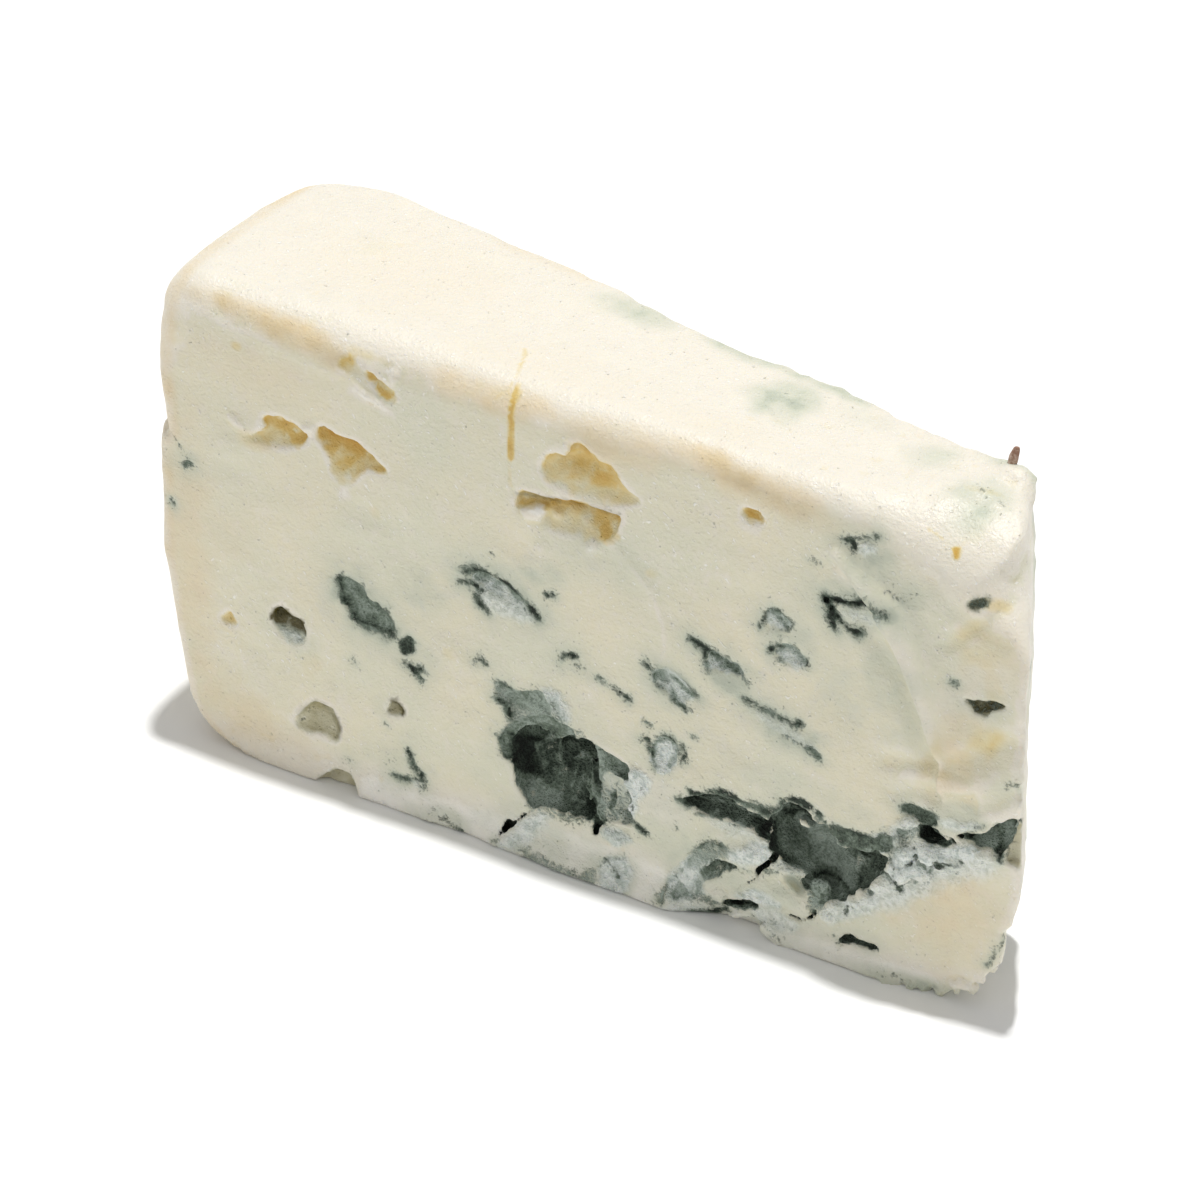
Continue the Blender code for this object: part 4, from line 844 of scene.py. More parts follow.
# crumbs heaped along a broken edge: outline on the cut face, how many, half size in mm, depth in mm
crumbHeaps = {
    "heap": ([(81.6, 11.8), (82.6, 14), (83.4, 16), (85, 17.1), (87, 17.4), (88.6, 17), (88, 15.4), (86, 13.6),
        (83.6, 11.4)], 10, (0.6, 1.05), (-0.3, 0.6)),
    "tipHeap": ([(89, 17.8), (90.6, 19.1), (93.6, 18.8), (94.6, 18), (92, 17.2)], 9, (0.5, 0.9), (-0.2, 0.7)),
    "lowHeap": ([(74.6, 4.6), (75.8, 6.6), (77.2, 7.4), (79, 7.8), (79.8, 9.4), (80.6, 9.8), (79.4, 7.2),
        (77, 5.4)], 9, (0.5, 0.95), (-0.2, 0.6)),
    "smearGrains": ([(61.8, 7.4), (62.8, 8.9), (64, 9), (64.2, 8)], 12, (0.3, 0.55), (-0.1, 0.6)),
    "floorGrains": ([(43.6, 6.2), (45.4, 6.6), (47.4, 6.8), (49, 6.6), (47, 5.9)], 14, (0.3, 0.55),
        (-0.05, 0.8)),
    "smearCrumbs": ([(58, 1.4), (58.4, 4), (60.4, 5.8), (61.6, 5.4), (60.8, 3.4), (61.4, 2), (59.6, 1.2)],
        9, (0.3, 0.6), (0.3, 0.8)),
    "slitCrumbs": ([(62, 1.4), (63.4, 3.4), (66.4, 4.6), (68.4, 4.8), (67, 3.8), (64.6, 2.4)], 12, (0.35, 0.7),
        (0, 0.5)),
    "footCrumbs": ([(80, -0.3), (84, 0.6), (88, 1.6), (91.6, 3.2), (92.4, 2.4), (88, 0.4), (84, -0.2)],
        26, (0.3, 0.65), (-0.1, 0.7)),
    "cornerCrumbs": ([(92, 3.4), (93.4, 6.8), (94.6, 10), (95.2, 9.4), (94.4, 5.8), (93.2, 3.8)], 7, (0.3, 0.7),
        (0.2, 1.8)),
}

# mould on the faces that the knife left at the back, the tip and the base: how many veins each
# holds, between which corners, their length in mm and their slope in degrees
scattered = {
    "back": {"count": 44, "low": (14, 4), "high": (90, 46), "lengthMm": (2.0, 8.0), "slopeDeg": (-28, 18)},
    "tip": {"count": 7, "low": (1.5, 4), "high": (10, 48), "lengthMm": (1.5, 4.0), "slopeDeg": (-60, 60)},
    "base": {"count": 40, "low": (14, 2), "high": (88, 18), "lengthMm": (2.0, 7.0), "slopeDeg": (-40, 30)},
    "rind": {"count": 14, "low": (2, 4), "high": (23, 48), "lengthMm": (0.4, 1.6), "slopeDeg": (-60, 60)},
}
# damp grey-green areas of the top, as the tints above
topTints = {
    "green": [((43.5, 18), (5, 2.2), -6, 0.5), ((53.5, 16.6), (3.6, 1.4), -8, 0.22), ((63.5, 11.8), (4, 4),
        -10, 0.58), ((65, 9.5), (2.4, 2.2), 0, 0.3), ((80.5, 10), (3.2, 2.6), 0, 0.36), ((87.5, 6), (3.4, 4.6),
        0, 0.5), ((72, 12.5), (4, 2), 0, 0.15)],
    "yellow": [((63.8, 8.4), (3.6, 0.6), -20, 0.16), ((87.5, 7), (2.6, 0.7), 10, 0.25)],
    "cream": [((20, 12), (16, 9), 0, 0.12), ((60, 4), (10, 3), 0, 0.1), ((40, 5), (14, 5), 0, 0.1)],
}
# the yellow crack's end, run on over the top: line, width in mm, strength
topSeam = ([(39.6, 1.2), (39.2, 3.4), (38.6, 5), (37.8, 6.4)], 0.3, 0.45)
topVeins = {
    "greyMarks": ([(86.6, 7.3), (87.6, 6.9)], 0.4, 0.3, 0.9),
    "greyMarksTip": ([(89.6, 6.4), (90.4, 5.8)], 0.3, 0.3, 0.7),
}


def windowFor(grid, face, low, high, reachMm):
    # the stretch of the grid, as slices, that a feature between two corners of a face can touch
    across, along = (low[0], high[0]), (low[1], high[1])
    spans = {
        "front": (across, (-2.2, reachMm), along),
        "back": (across, (float(thicknessAt(high[0])) - reachMm, float(thicknessAt(low[0])) + 1.5), along),
    }[face]
    return tuple(slice(*np.searchsorted(grid[axis].ravel(), span)) for axis, span in zip("xdz", spans))


def ovalAt(u, v, centre, half, tiltDeg):
    # a place along and across an oval, 1 at the oval's rim
    turn = math.radians(tiltDeg)
    along = ((u - centre[0]) * math.cos(turn) + (v - centre[1]) * math.sin(turn)) / half[0]
    across = ((v - centre[1]) * math.cos(turn) - (u - centre[0]) * math.sin(turn)) / half[1]
    return along, across


def placesIn(grid, window):
    return grid["x"][window[0]], grid["d"][:, window[1]], grid["z"][:, :, window[2]]


def hollowAt(shape, face, x, d, z, seed):
    # distance to a hollow's wall in mm, negative inside it, and the depth of the place under its face
    u, v, depth = onFace(face, x, d, z)
    ragged = shape["raggedMm"]
    u = u + ragged * layeredNoise(x, d, z, 1.9, 3, seed)
    v = v - shape["leanMm"] * depth + ragged * layeredNoise(x + 31, d, z + 17, 1.9, 3, seed)
    path = softened(shape["path"])
    side = outlineDistance(u, v, path)
    low, high = path[:, 1].min(), path[:, 1].max()
    # a bowl that reaches its depth rimMm inside the outline, with a folded and uneven floor
    inward = np.clip(-side / shape["rimMm"], 0, 1)
    bowl = np.sqrt(1 - (1 - inward) ** 2)
    height = np.clip((v - low) / (high - low), 0, 1)
    reach = shape["depthMm"] * bowl * (shape["lowShare"] + (1 - shape["lowShare"]) * height)
    folds = (1 - np.abs(noiseAt(x, d, z, 2.2, seed + 6))) ** 3
    reach = reach * (1 + 0.25 * layeredNoise(x, d, z, 2.6, 2, seed + 5) - 0.16 * folds)
    return np.maximum(side, (depth - reach) * 0.6), depth


def allHollows():
    # every hollow with its face, in a fixed order
    listed = [("front", shape) for shape in hollows.values()]
    for order, (centre, half, tiltDeg, depthMm, kind) in enumerate(backOpenings.values()):
        shape = dict(backShape, path=ovalPath(centre, half, tiltDeg, 60 + order), depthMm=depthMm, kind=kind)
        listed.append(("back", shape))
    return [(face, shape, 100 + 7 * order) for order, (face, shape) in enumerate(listed)]


def cornersOf(path, marginMm):
    path = np.array(path)
    return path.min(axis=0) - marginMm, path.max(axis=0) + marginMm


def carveHollows(grid, field):
    for face, shape, seed in allHollows():
        low, high = cornersOf(shape["path"], 1.2)
        high = high + np.array([0, shape["leanMm"] * shape["depthMm"] * 1.3])
        window = windowFor(grid, face, low, high, shape["depthMm"] * 1.35 + 1.5)
        x, d, z = placesIn(grid, window)
        wall = hollowAt(shape, face, x, d, z, seed)[0]
        field[window] = roundMax(field[window], -wall, 0.15)


def crackCorners(shape):
    # the corners of what a crack can touch on the cut face
    low, high = cornersOf(shape["path"], 1.0)
    return low - np.array(lookSlant) * shape["depthMm"], high


def crackAt(shape, x, d, z, seed):
    # distance to a crack's walls in mm, negative inside it
    u, v, depth = onFace("front", x, d, z)
    u, v = asSeen(u, v, depth)
    u = u + 0.16 * noiseAt(x, d, z, 0.9, seed)
    v = v + 0.16 * noiseAt(x, d, z, 0.9, seed + 1)
    away = outlineDistance(u, v, softened(shape["path"], closed=False), closed=False)
    start, end = np.array(shape["path"][0]), np.array(shape["path"][-1])
    gone = np.clip(np.hypot(u - start[0], v - start[1]) / max(np.hypot(*(end - start)), 0.1), 0, 1)
    uneven = 1.2 - 0.85 * gone + 0.45 * layeredNoise(x, d, z, 1.3, 2, seed + 2)
    half = shape["widthMm"] / 2 * uneven * np.clip(1.1 - depth / shape["depthMm"], 0, 1.3)
    return np.maximum(away - half, (depth - shape["depthMm"]) * 0.6), depth


def carveCracks(grid, field):
    for order, shape in enumerate(cracks.values()):
        low, high = crackCorners(shape)
        window = windowFor(grid, "front", low, high, shape["depthMm"] + 1.2)
        x, d, z = placesIn(grid, window)
        wall = crackAt(shape, x, d, z, 400 + order)[0]
        field[window] = roundMax(field[window], -wall, 0.1)


def addLump(grid, field, centre, half, tiltDeg, seed, roughMm=0.16, joinMm=0.3, drawn=True):
    # a noise-warped ellipsoid joined to the body, its depth counted from the cut face
    x0, depth0, z0 = centre
    if drawn:
        x0, z0 = x0 - lookSlant[0] * depth0, z0 - lookSlant[1] * depth0
    d0 = depth0 + float(frontRelief(np.float32(x0), np.float32(z0)))
    room = max(half) + 0.9
    window = tuple(slice(*np.searchsorted(grid[axis].ravel(), (value - room, value + room)))
                   for axis, value in zip("xdz", (x0, d0, z0)))
    x, d, z = placesIn(grid, window)
    along, across = ovalAt(x, z, (x0, z0), (half[0], half[2]), tiltDeg)
    round3 = np.sqrt(along ** 2 + ((d - d0) / half[1]) ** 2 + across ** 2)
    lump = (round3 - 1) * min(half) + roughMm * layeredNoise(x, d, z, 1.0, 2, seed)
    field[window] = roundMin(field[window], lump, joinMm)


def addLumps(grid, field):
    for order, (centre, half, tiltDeg) in enumerate(lumps.values()):
        addLump(grid, field, centre, half, tiltDeg, 500 + order)
    for order, (centre, half, tiltDeg) in enumerate(edgeLumps.values()):
        addLump(grid, field, centre, half, tiltDeg, 560 + order, 0.2, 0.5, False)
    for order, (path, count, (small, large), (shallow, deep)) in enumerate(crumbHeaps.values()):
        rng = np.random.default_rng(70 + order)
        low, high = cornersOf(path, 0)
        outline = np.array(path, dtype=np.float32)
        placed = 0
        while placed < count:
            u, v = rng.uniform(low, high)
            if outlineDistance(np.float32(u), np.float32(v), outline) > 0:
                continue
            size = rng.uniform(small, large)
            half = size * rng.uniform(0.7, 1.15, 3)
            addLump(grid, field, (u, rng.uniform(shallow, deep), v), tuple(half), rng.uniform(-60, 60),
                    600 + placed, 0.14, 0.12)
            placed += 1


# where each colour lies: one value for each point of the surface, 0 to 1

# mould; how light and dusty it is, with painted shade and light in the pockets; bloom; damp green stain;
# yellow, with painted shade in eyes, hollows and folds; brown, with painted brown shade; pinkish cream;
# white crust, with painted light on crests, the long ridge and the foot
paintLayers = ("mould", "dust", "bloom", "green", "yellow", "brown", "cream", "crustAndLight")


def raiseTo(layer, where, value):
    layer[where] = np.maximum(layer[where], value)


def reached(u, v, near, path, marginMm):
    # the points that a mark with this path can touch
    low, high = cornersOf(path, marginMm)
    return np.flatnonzero((u > low[0]) & (u < high[0]) & (v > low[1]) & (v < high[1]) & (near > 0))


def paintLine(paint, u, v, near, line, seed):
    path, widthMm, strength, haloMm = line
    where = reached(u, v, near, path, widthMm + 2.5 * haloMm)
    if not len(where):
        return
    a, b = u[where], v[where]
    a = a + 0.2 * layeredNoise(a, 3, b, 1.3, 3, seed)
    b = b + 0.2 * layeredNoise(a + 19, 3, b, 1.3, 3, seed)
    away = outlineDistance(a, b, softened(path, closed=False), closed=False)
    uneven = layeredNoise(a, 9, b, 1.2, 2, seed)
    away = away - widthMm * 0.5 * (0.7 + 0.7 * uneven)
    outside = np.maximum(away, 0)
    core = np.maximum(ease(-away, -0.22, 0.24), 0.55 * np.exp(-outside / 0.4))
    raiseTo(paint["mould"], where, near[where] * strength * core)
    raiseTo(paint["dust"], where, near[where] * core * ease(noiseAt(a, 9, b, 1.5, seed + 4), -0.1, 0.8) * 0.55)
    stain = 0.75 * np.exp(-outside / haloMm * 1.3) + 0.35 * np.exp(-outside / 0.45)
    raiseTo(paint["green"], where, near[where] * strength * stain)


def paintSeam(paint, layer, u, v, near, path, widthMm, strength):
    # a thin line that keeps its width
    where = reached(u, v, near, path, widthMm + 0.6)
    if not len(where):
        return
    wander = 0.12 * noiseAt(u[where], 3, v[where], 1.1, 17)
    away = outlineDistance(u[where] + wander, v[where] + wander, softened(path, closed=False), closed=False)
    raiseTo(paint[layer], where, near[where] * strength * ease(-away, -widthMm / 2 - 0.2, -widthMm / 2 + 0.1))


def paintPatch(paint, layer, u, v, near, path, strength, softMm, haloMm, seed):
    where = reached(u, v, near, path, softMm + 2.5 * haloMm)
    if not len(where):
        return
    a, b = u[where], v[where]
    a = a + 0.35 * layeredNoise(a, 3, b, 1.6, 3, seed) + 0.2 * noiseAt(a, 4, b, 0.6, seed)
    b = b + 0.35 * layeredNoise(a + 19, 3, b, 1.6, 3, seed) + 0.2 * noiseAt(a, 6, b, 0.6, seed)
    side = outlineDistance(a, b, softened(path))
    cover = ease(-side, -softMm, softMm * 0.6)
    raiseTo(paint[layer], where, near[where] * strength * cover)
    if haloMm > 0:
        raiseTo(paint["green"], where, near[where] * strength * np.exp(-np.maximum(side, 0) / haloMm * 1.2))
        speckled = ease(layeredNoise(a, 5, b, 1.4, 2, seed + 2), -0.3, 0.7)
        raiseTo(paint["dust"], where, near[where] * cover * (1.1 - strength) * (0.4 + 0.9 * speckled))


def paintTints(paint, u, v, near, listed, seed):
    for layer, areas in listed.items():
        for order, (centre, half, tiltDeg, strength) in enumerate(areas):
            along, across = ovalAt(u, v, centre, half, tiltDeg)
            away = np.sqrt(along ** 2 + across ** 2) + 0.3 * layeredNoise(u, 7, v, 2.6, 2, seed + order)
            value = near * strength * ease(-away, -1.25, -0.15)
            paint[layer] = np.maximum(paint[layer], value)


def scatterVeins(face, seed):
    # veins grown as short wandering lines, more of them towards the tip and the base
    shape = scattered[face]
    rng = np.random.default_rng(seed)
    for _ in range(shape["count"]):
        low, high = np.array(shape["low"]), np.array(shape["high"])
        place = low + (high - low) * rng.beta((1.6, 1.2), (1.2, 1.5))
        heading = math.radians(rng.uniform(*shape["slopeDeg"]))
        steps = max(2, int(rng.uniform(*shape["lengthMm"])))
        path = [tuple(place)]
        for _ in range(steps):
            heading += rng.normal(0, 0.45)
            place = place + np.array([math.cos(heading), math.sin(heading)]) * rng.uniform(0.6, 1.2)
            path.append(tuple(place))
        yield path, rng.uniform(0.35, 1.0), rng.uniform(0.5, 1.0), rng.uniform(0.8, 2.0)


def paintInside(paint, kind, where, inside, depthShare, height, patchy):
    # what covers the walls of a hollow: patchy is slow noise from -1 to 1
    dusty = ease(patchy, -0.5, 0.7)
    deep = ease(depthShare, 0.1, 0.75)
    layers = {
        "mould": {"mould": 0.95, "dust": 0.32 + 0.4 * dusty, "green": 1.0},
        "dusty": {"mould": 0.12 + 0.3 * dusty, "dust": 0.8, "green": 0.6, "bloom": 0.25},
        "grey": {"mould": 0.72 + 0.2 * dusty, "dust": 0.45 + 0.4 * dusty, "green": 1.0},
        "smudge": {"mould": 0.1 + 0.68 * dusty, "dust": 0.45 + 0.4 * dusty, "green": 1.0, "bloom": 0.3},
        "smear": {"mould": 0.34 - 0.3 * dusty, "dust": 0.7, "bloom": 0.35 + 0.5 * dusty, "green": 0.95},
        "crumb": {"mould": 0.3 * deep, "dust": 0.6, "green": 0.85, "bloom": 0.5},
        "pale": {"bloom": 0.65 + 0.3 * dusty, "green": 0.95, "mould": 0.2 - 0.15 * dusty, "dust": 0.8},
        "olive": {"brown": 0.5, "mould": 0.3 + 0.2 * dusty, "dust": 0.3, "green": 1.0, "yellow": 0.3},
        # eyes and slots: their own honey, deepening towards the deep and the overhung top as painted shade and a
        # painted glow of light gone through the paste
        "eye": {"yellow": 0.42 + 0.5 * np.maximum(0.85 * deep, ease(height, 0.12, 0.8))},
        "slot": {"yellow": 0.36 + 0.5 * np.maximum(0.9 * deep, ease(height, 0.2, 0.7)), "green": 0.3 * deep,
                 "brown": 0.03 * deep},
        "brown": {"brown": 0.17 + 0.08 * dusty, "green": 0.5, "yellow": 0.34},
        # the brown above is painted shade under the overhanging top, over the eye's own olive brown
        "darkEye": {"brown": 0.1 + 0.9 * ease(height, 0.3, 0.42), "green": 0.9, "bloom": 0.5 * (height < 0.28)},
    }[kind]
    for layer, value in layers.items():
        raiseTo(paint[layer], where, inside * value)


def paintMouldToneShading(paint, x, z, depth):
    # light and dark places in the mouldy pockets, drawn as they look from outside: the mould's own tone with
    # painted shade and painted light laid over it
    where = np.flatnonzero((paint["mould"] > 0.3) & (depth > 0.15) & (depth < 12))
    a, b = asSeen(x[where], z[where], depth[where])
    a = a + 0.22 * layeredNoise(x[where], depth[where], z[where], 1.5, 3, 301)
    b = b + 0.22 * layeredNoise(x[where], depth[where], z[where], 1.5, 3, 311)
    dust = paint["dust"][where]
    for centre, half, tiltDeg, tone in mouldToneShadingAreas:
        along, across = ovalAt(a, b, centre, half, tiltDeg)
        cover = ease(-np.hypot(along, across), -1.2, -0.6)
        dust = dust + cover * (tone + 0.3 * (dust - 0.5) - dust)
    for path, widthMm, tone in mouldToneShadingLines:
        away = outlineDistance(a, b, softened(path, closed=False), closed=False)
        cover = np.exp(-(away / widthMm) ** 2)
        dust = dust + cover * (tone - dust)
    paint["dust"][where] = dust


def paintCheese(x, d, z):
    paint = {name: np.zeros(len(x), dtype=np.float32) for name in paintLayers}
    faces = {face: onFace(face, x, d, z) for face in ("front", "back", "tip", "rind", "top", "base")}
    near = {face: ease(-depth, -2.4, -0.9) for face, (u, v, depth) in faces.items()}

    # the big cut face
    depth = faces["front"][2]
    u, v = asSeen(x, z, np.clip(depth, -1.5, 2.6))
    paintTints(paint, u, v, near["front"], tints, 200)
    for order, line in enumerate(veins.values()):
        paintLine(paint, u, v, near["front"], line, 220 + order)
    for order, (path, strength, softMm, haloMm) in enumerate(patches.values()):
        paintPatch(paint, "mould", u, v, near["front"], path, strength, softMm, haloMm, 320 + order)
    shallow = ease(-depth, -1.6, -0.7)
    for order, (path, strength, softMm) in enumerate(blooms.values()):
        paintPatch(paint, "bloom", u, v, shallow, path, strength, softMm, 0, 360 + order)
    for order, (path, strength, softMm) in enumerate(lipsAndLitPatches.values()):
        paintPatch(paint, "crustAndLight", u, v, near["front"], path, 0.3 + 0.75 * strength, softMm, 0, 370 + order)
    for order, (path, strength, softMm) in enumerate(honeyPools.values()):
        paintPatch(paint, "yellow", u, v, near["front"], path, strength, softMm, 0, 395 + order)
    for layer, lines in (("yellow", seams), ("brown", brownLines)):
        for path, widthMm, strength in lines.values():
            paintSeam(paint, layer, u, v, near["front"], path, widthMm, strength)

    # the top, with a white crust that runs over its shoulders
    u, v, depth = faces["top"]
    paintSeam(paint, "yellow", u, v, near["top"], *topSeam)
    share = depth / (2.4 + 4.4 * ease(x, 70, 84))
    shoulder = 0.75 * ease(-share, -1, -0.12) * ease(layeredNoise(x, d, z, 6.0, 3, 88) - 1.6 * share, -2.0, -0.6)
    paint["crustAndLight"] = np.maximum(paint["crustAndLight"], shoulder)
    paintTints(paint, u, v, near["top"], topTints, 240)
    for order, line in enumerate(topVeins.values()):
        paintLine(paint, u, v, near["top"], line, 380 + order)

    # the other faces, and a rim of bloom round the back's mouldy openings
    for order, face in enumerate(scattered):
        u, v, depth = faces[face]
        seed = 900 + 50 * order
        for line in scatterVeins(face, seed):
            paintLine(paint, u, v, near[face], line, seed + int(10 * line[1]))
        if face in ("back", "base"):
            band = ease(layeredNoise(u, seed, v, 11.0, 2, seed) + 0.012 * (u - 40), 0.1, 0.9)
            paint["green"] = np.maximum(paint["green"], 0.55 * near[face] * band)
            warm = ease(layeredNoise(u, seed, v, 14.0, 2, seed + 3), 0.2, 0.9)
            paint["cream"] = np.maximum(paint["cream"], 0.5 * near[face] * warm)
    u, v, depth = faces["back"]
    for order, (centre, half, tiltDeg, _, kind) in enumerate(backOpenings.values()):
        if kind == "mould":
            rim = ovalPath(centre, (half[0] + backBloomMm[0], half[1] + backBloomMm[1]), tiltDeg, 60 + order)
            paintPatch(paint, "bloom", u, v, ease(-depth, -1.6, -0.7), rim, 0.7, 1.1, 0, 860 + order)
    rindWarm = 0.5 + 0.35 * layeredNoise(faces["rind"][0], 2, z, 7.0, 3, 77)
    paint["cream"] = np.maximum(paint["cream"], near["rind"] * rindWarm)

    # the walls of the cracks and of the hollows
    for order, shape in enumerate(cracks.values()):
        low, high = crackCorners(shape)
        within = (x > low[0]) & (x < high[0]) & (z > low[1]) & (z < high[1])
        where = np.flatnonzero(within & (d < shape["depthMm"] + 1))
        wall, depth = crackAt(shape, x[where], d[where], z[where], 400 + order)
        inside = ease(-wall, -0.16, 0.0) * ease(depth, 0.08, 0.5)
        kind = "yellow" if shape is cracks["yellowCrack"] else "mould"
        raiseTo(paint[kind], where, inside)
    for face, shape, seed in allHollows():
        u, v, depth = faces[face]
        low, high = cornersOf(shape["path"], 1.5)
        high = high + np.array([0, shape["leanMm"] * shape["depthMm"] * 1.4])
        deepest = shape["depthMm"] * 1.5 + 1.5
        within = (u > low[0]) & (u < high[0]) & (v > low[1]) & (v < high[1])
        where = np.flatnonzero(within & (depth < deepest) & (depth > 0))
        wall, depth = hollowAt(shape, face, x[where], d[where], z[where], seed)
        frayed = 0.22 * layeredNoise(x[where], d[where], z[where], 0.9, 2, seed + 8)
        inside = ease(-wall + frayed, -0.42, 0.0) * ease(depth + frayed, -0.06, 0.36)
        patchy = layeredNoise(x[where], d[where], z[where], 2.4, 3, seed + 3)
        height = np.clip((v[where] - low[1]) / (high[1] - low[1]), 0, 1)
        paintInside(paint, shape["kind"], where, inside, depth / shape["depthMm"], height, patchy)
    paintMouldToneShading(paint, x, z, faces["front"][2])
    return paint


def storePaint(mesh, paint):
    for name, values in paint.items():
        layer = mesh.attributes.get(name) or mesh.attributes.new(name, "FLOAT", "POINT")
        layer.data.foreach_set("value", np.clip(values, 0, 1).astype(np.float32))


def thinOut(piece, paint):
    # fewer, larger faces where the surface is plain; the marked and the broken parts stay fine
    mesh = piece.data
    mesh.calc_loop_triangles()
    count = len(mesh.loop_triangles)
    if count <= body["facesKept"]:
        return
    x, d, z = cheesePoints(mesh)
    marked = np.clip(paint["mould"] + paint["bloom"] + 0.5 * paint["green"] + 0.7 * paint["yellow"], 0, 1)
    seen = np.maximum(ease(-d, -2.5, -0.5), 0.8 * np.maximum(ease(z, 44, 50), ease(-x, -8, -2)))
    plain = np.clip(1 - 0.65 * seen - 0.9 * marked, 0.02, 0.75)
    group = piece.vertex_groups.new(name="plain")
    for level in range(1, 11):
        members = np.flatnonzero(np.ceil(plain * 10) == level).tolist()
        if members:
            group.add(members, level / 10, "REPLACE")
    thinner = piece.modifiers.new("fewer_faces", "DECIMATE")
    thinner.ratio = body["facesKept"] / count
    thinner.vertex_group = "plain"
    thinner.vertex_group_factor = 3.0
    bpy.context.view_layer.objects.active = piece
    bpy.ops.object.modifier_apply(modifier=thinner.name)
    piece.vertex_groups.clear()
    piece.data.validate()
    print("cheese thinned from", count, "to", len(piece.data.polygons), "faces")


def sunkenBy(mesh, rounds=4):
    # how far each point lies under its smoothed surroundings, in mm, and the normals
    count = len(mesh.vertices)
    places = pointsOf(mesh).astype(np.float64)
    normals = np.empty(count * 3, dtype=np.float32)
    mesh.vertex_normals.foreach_get("vector", normals)
    ends = np.empty(len(mesh.edges) * 2, dtype=np.int32)
    mesh.edges.foreach_get("vertices", ends)
    first, second = ends.reshape(-1, 2).T
    both, other = np.concatenate([first, second]), np.concatenate([second, first])
    links = np.maximum(np.bincount(both, minlength=count), 1)
    smooth = places
    for _ in range(rounds):
        smooth = np.stack([np.bincount(both, smooth[other, axis], count) / links for axis in range(3)], axis=1)
    normals = normals.reshape(-1, 3)
    return np.sum((smooth - places) * normals, axis=1) / mm, normals


def paintCreviceShadeAndCrestLight(mesh, paint):
    # painted shade and light by the surface's curvature: crevices of what is crumbly or mouldy take mould
    # colour, paler among the bloom; crests of mould turn paler and clean crests whiter, as painted light; clean
    # hollows turn a little yellower, as painted shade
    sunken, _ = sunkenBy(mesh)
    # painted shade in the crevices
    crevice = ease(sunken, 0.015, 0.11)
    creviceShade = np.clip(0.75 * paint["bloom"] + 0.3 * paint["green"], 0, 0.55)
    paint["mould"] = np.maximum(paint["mould"], crevice * creviceShade)
    paint["dust"] = np.maximum(paint["dust"], crevice * paint["bloom"] * 0.5)
    # painted light on the crests: paler mould and whiter clean paste
    crest = ease(-sunken, 0.01, 0.09)
    paint["dust"] = np.clip(paint["dust"] + 0.45 * crest * paint["mould"], 0, 1)
    clean = 1 - np.clip(paint["mould"] + paint["bloom"] + 0.9 * paint["green"], 0, 1)
    paint["crustAndLight"] = np.maximum(paint["crustAndLight"], 0.75 * clean * ease(-sunken, 0.006, 0.05))
    # painted shade: clean hollows a little yellower
    paint["yellow"] = np.maximum(paint["yellow"], 0.22 * clean * ease(sunken, 0.006, 0.05))


def roughen(mesh, paint):
    # mould is granular, bloom crumbly, and thin veins sit a little lower than the paste
    x, d, z = cheesePoints(mesh)
    normals = sunkenBy(mesh, 0)[1]
    grain = 0.7 * noiseAt(x, d, z, 1.1, 51) + 0.5 * noiseAt(x, d, z, 0.65, 52)
    crumbs = 0.4 * noiseAt(x, d, z, 2.2, 55) + 0.08 * noiseAt(x, d, z, 0.9, 56)
    move = 0.14 * paint["mould"] * grain - 0.2 * paint["mould"] + paint["bloom"] * crumbs
    move = move + 0.025 * layeredNoise(x, d, z, 1.3, 2, 53) + 0.06 * paint["green"] * noiseAt(x, d, z, 0.9, 54)
    places = pointsOf(mesh) + normals * (move * ease(z, 0.15, 0.9))[:, None] * mm
    mesh.vertices.foreach_set("co", places.ravel())
    mesh.update()


def makeCheese():
    grid = makeGrid()
    field = bodyField(grid)
    print("cheese body field", field.shape)
    carveHollows(grid, field)
    addLumps(grid, field)
    carveCracks(grid, field)
    print("hollows, lumps and cracks cut")
    piece = meshFromField(grid, field, "wedge_surface")
    thinOut(piece, paintCheese(*cheesePoints(piece.data)))
    paint = paintCheese(*cheesePoints(piece.data))
    roughen(piece.data, paint)
    paintCreviceShadeAndCrestLight(piece.data, paint)
    storePaint(piece.data, paint)
    piece.data.shade_smooth()
    piece.data.materials.append(pasteMaterial())
    return piece


# materials

def newMaterial(name):
    material = bpy.data.materials.new(name)
    material.use_nodes = True
    return material, material.node_tree, material.node_tree.nodes["Principled BSDF"]


def addNode(tree, kind, settings=None, links=None):
    # one shader node, its settings by attribute or socket name, and what feeds its sockets
    node = tree.nodes.new("ShaderNode" + kind)
    for key, value in (settings or {}).items():
        if isinstance(key, str) and hasattr(node, key):
            setattr(node, key, value)
        else:
            node.inputs[key].default_value = value
    for key, source in (links or {}).items():
        tree.links.new(source, node.inputs[key])
    return node


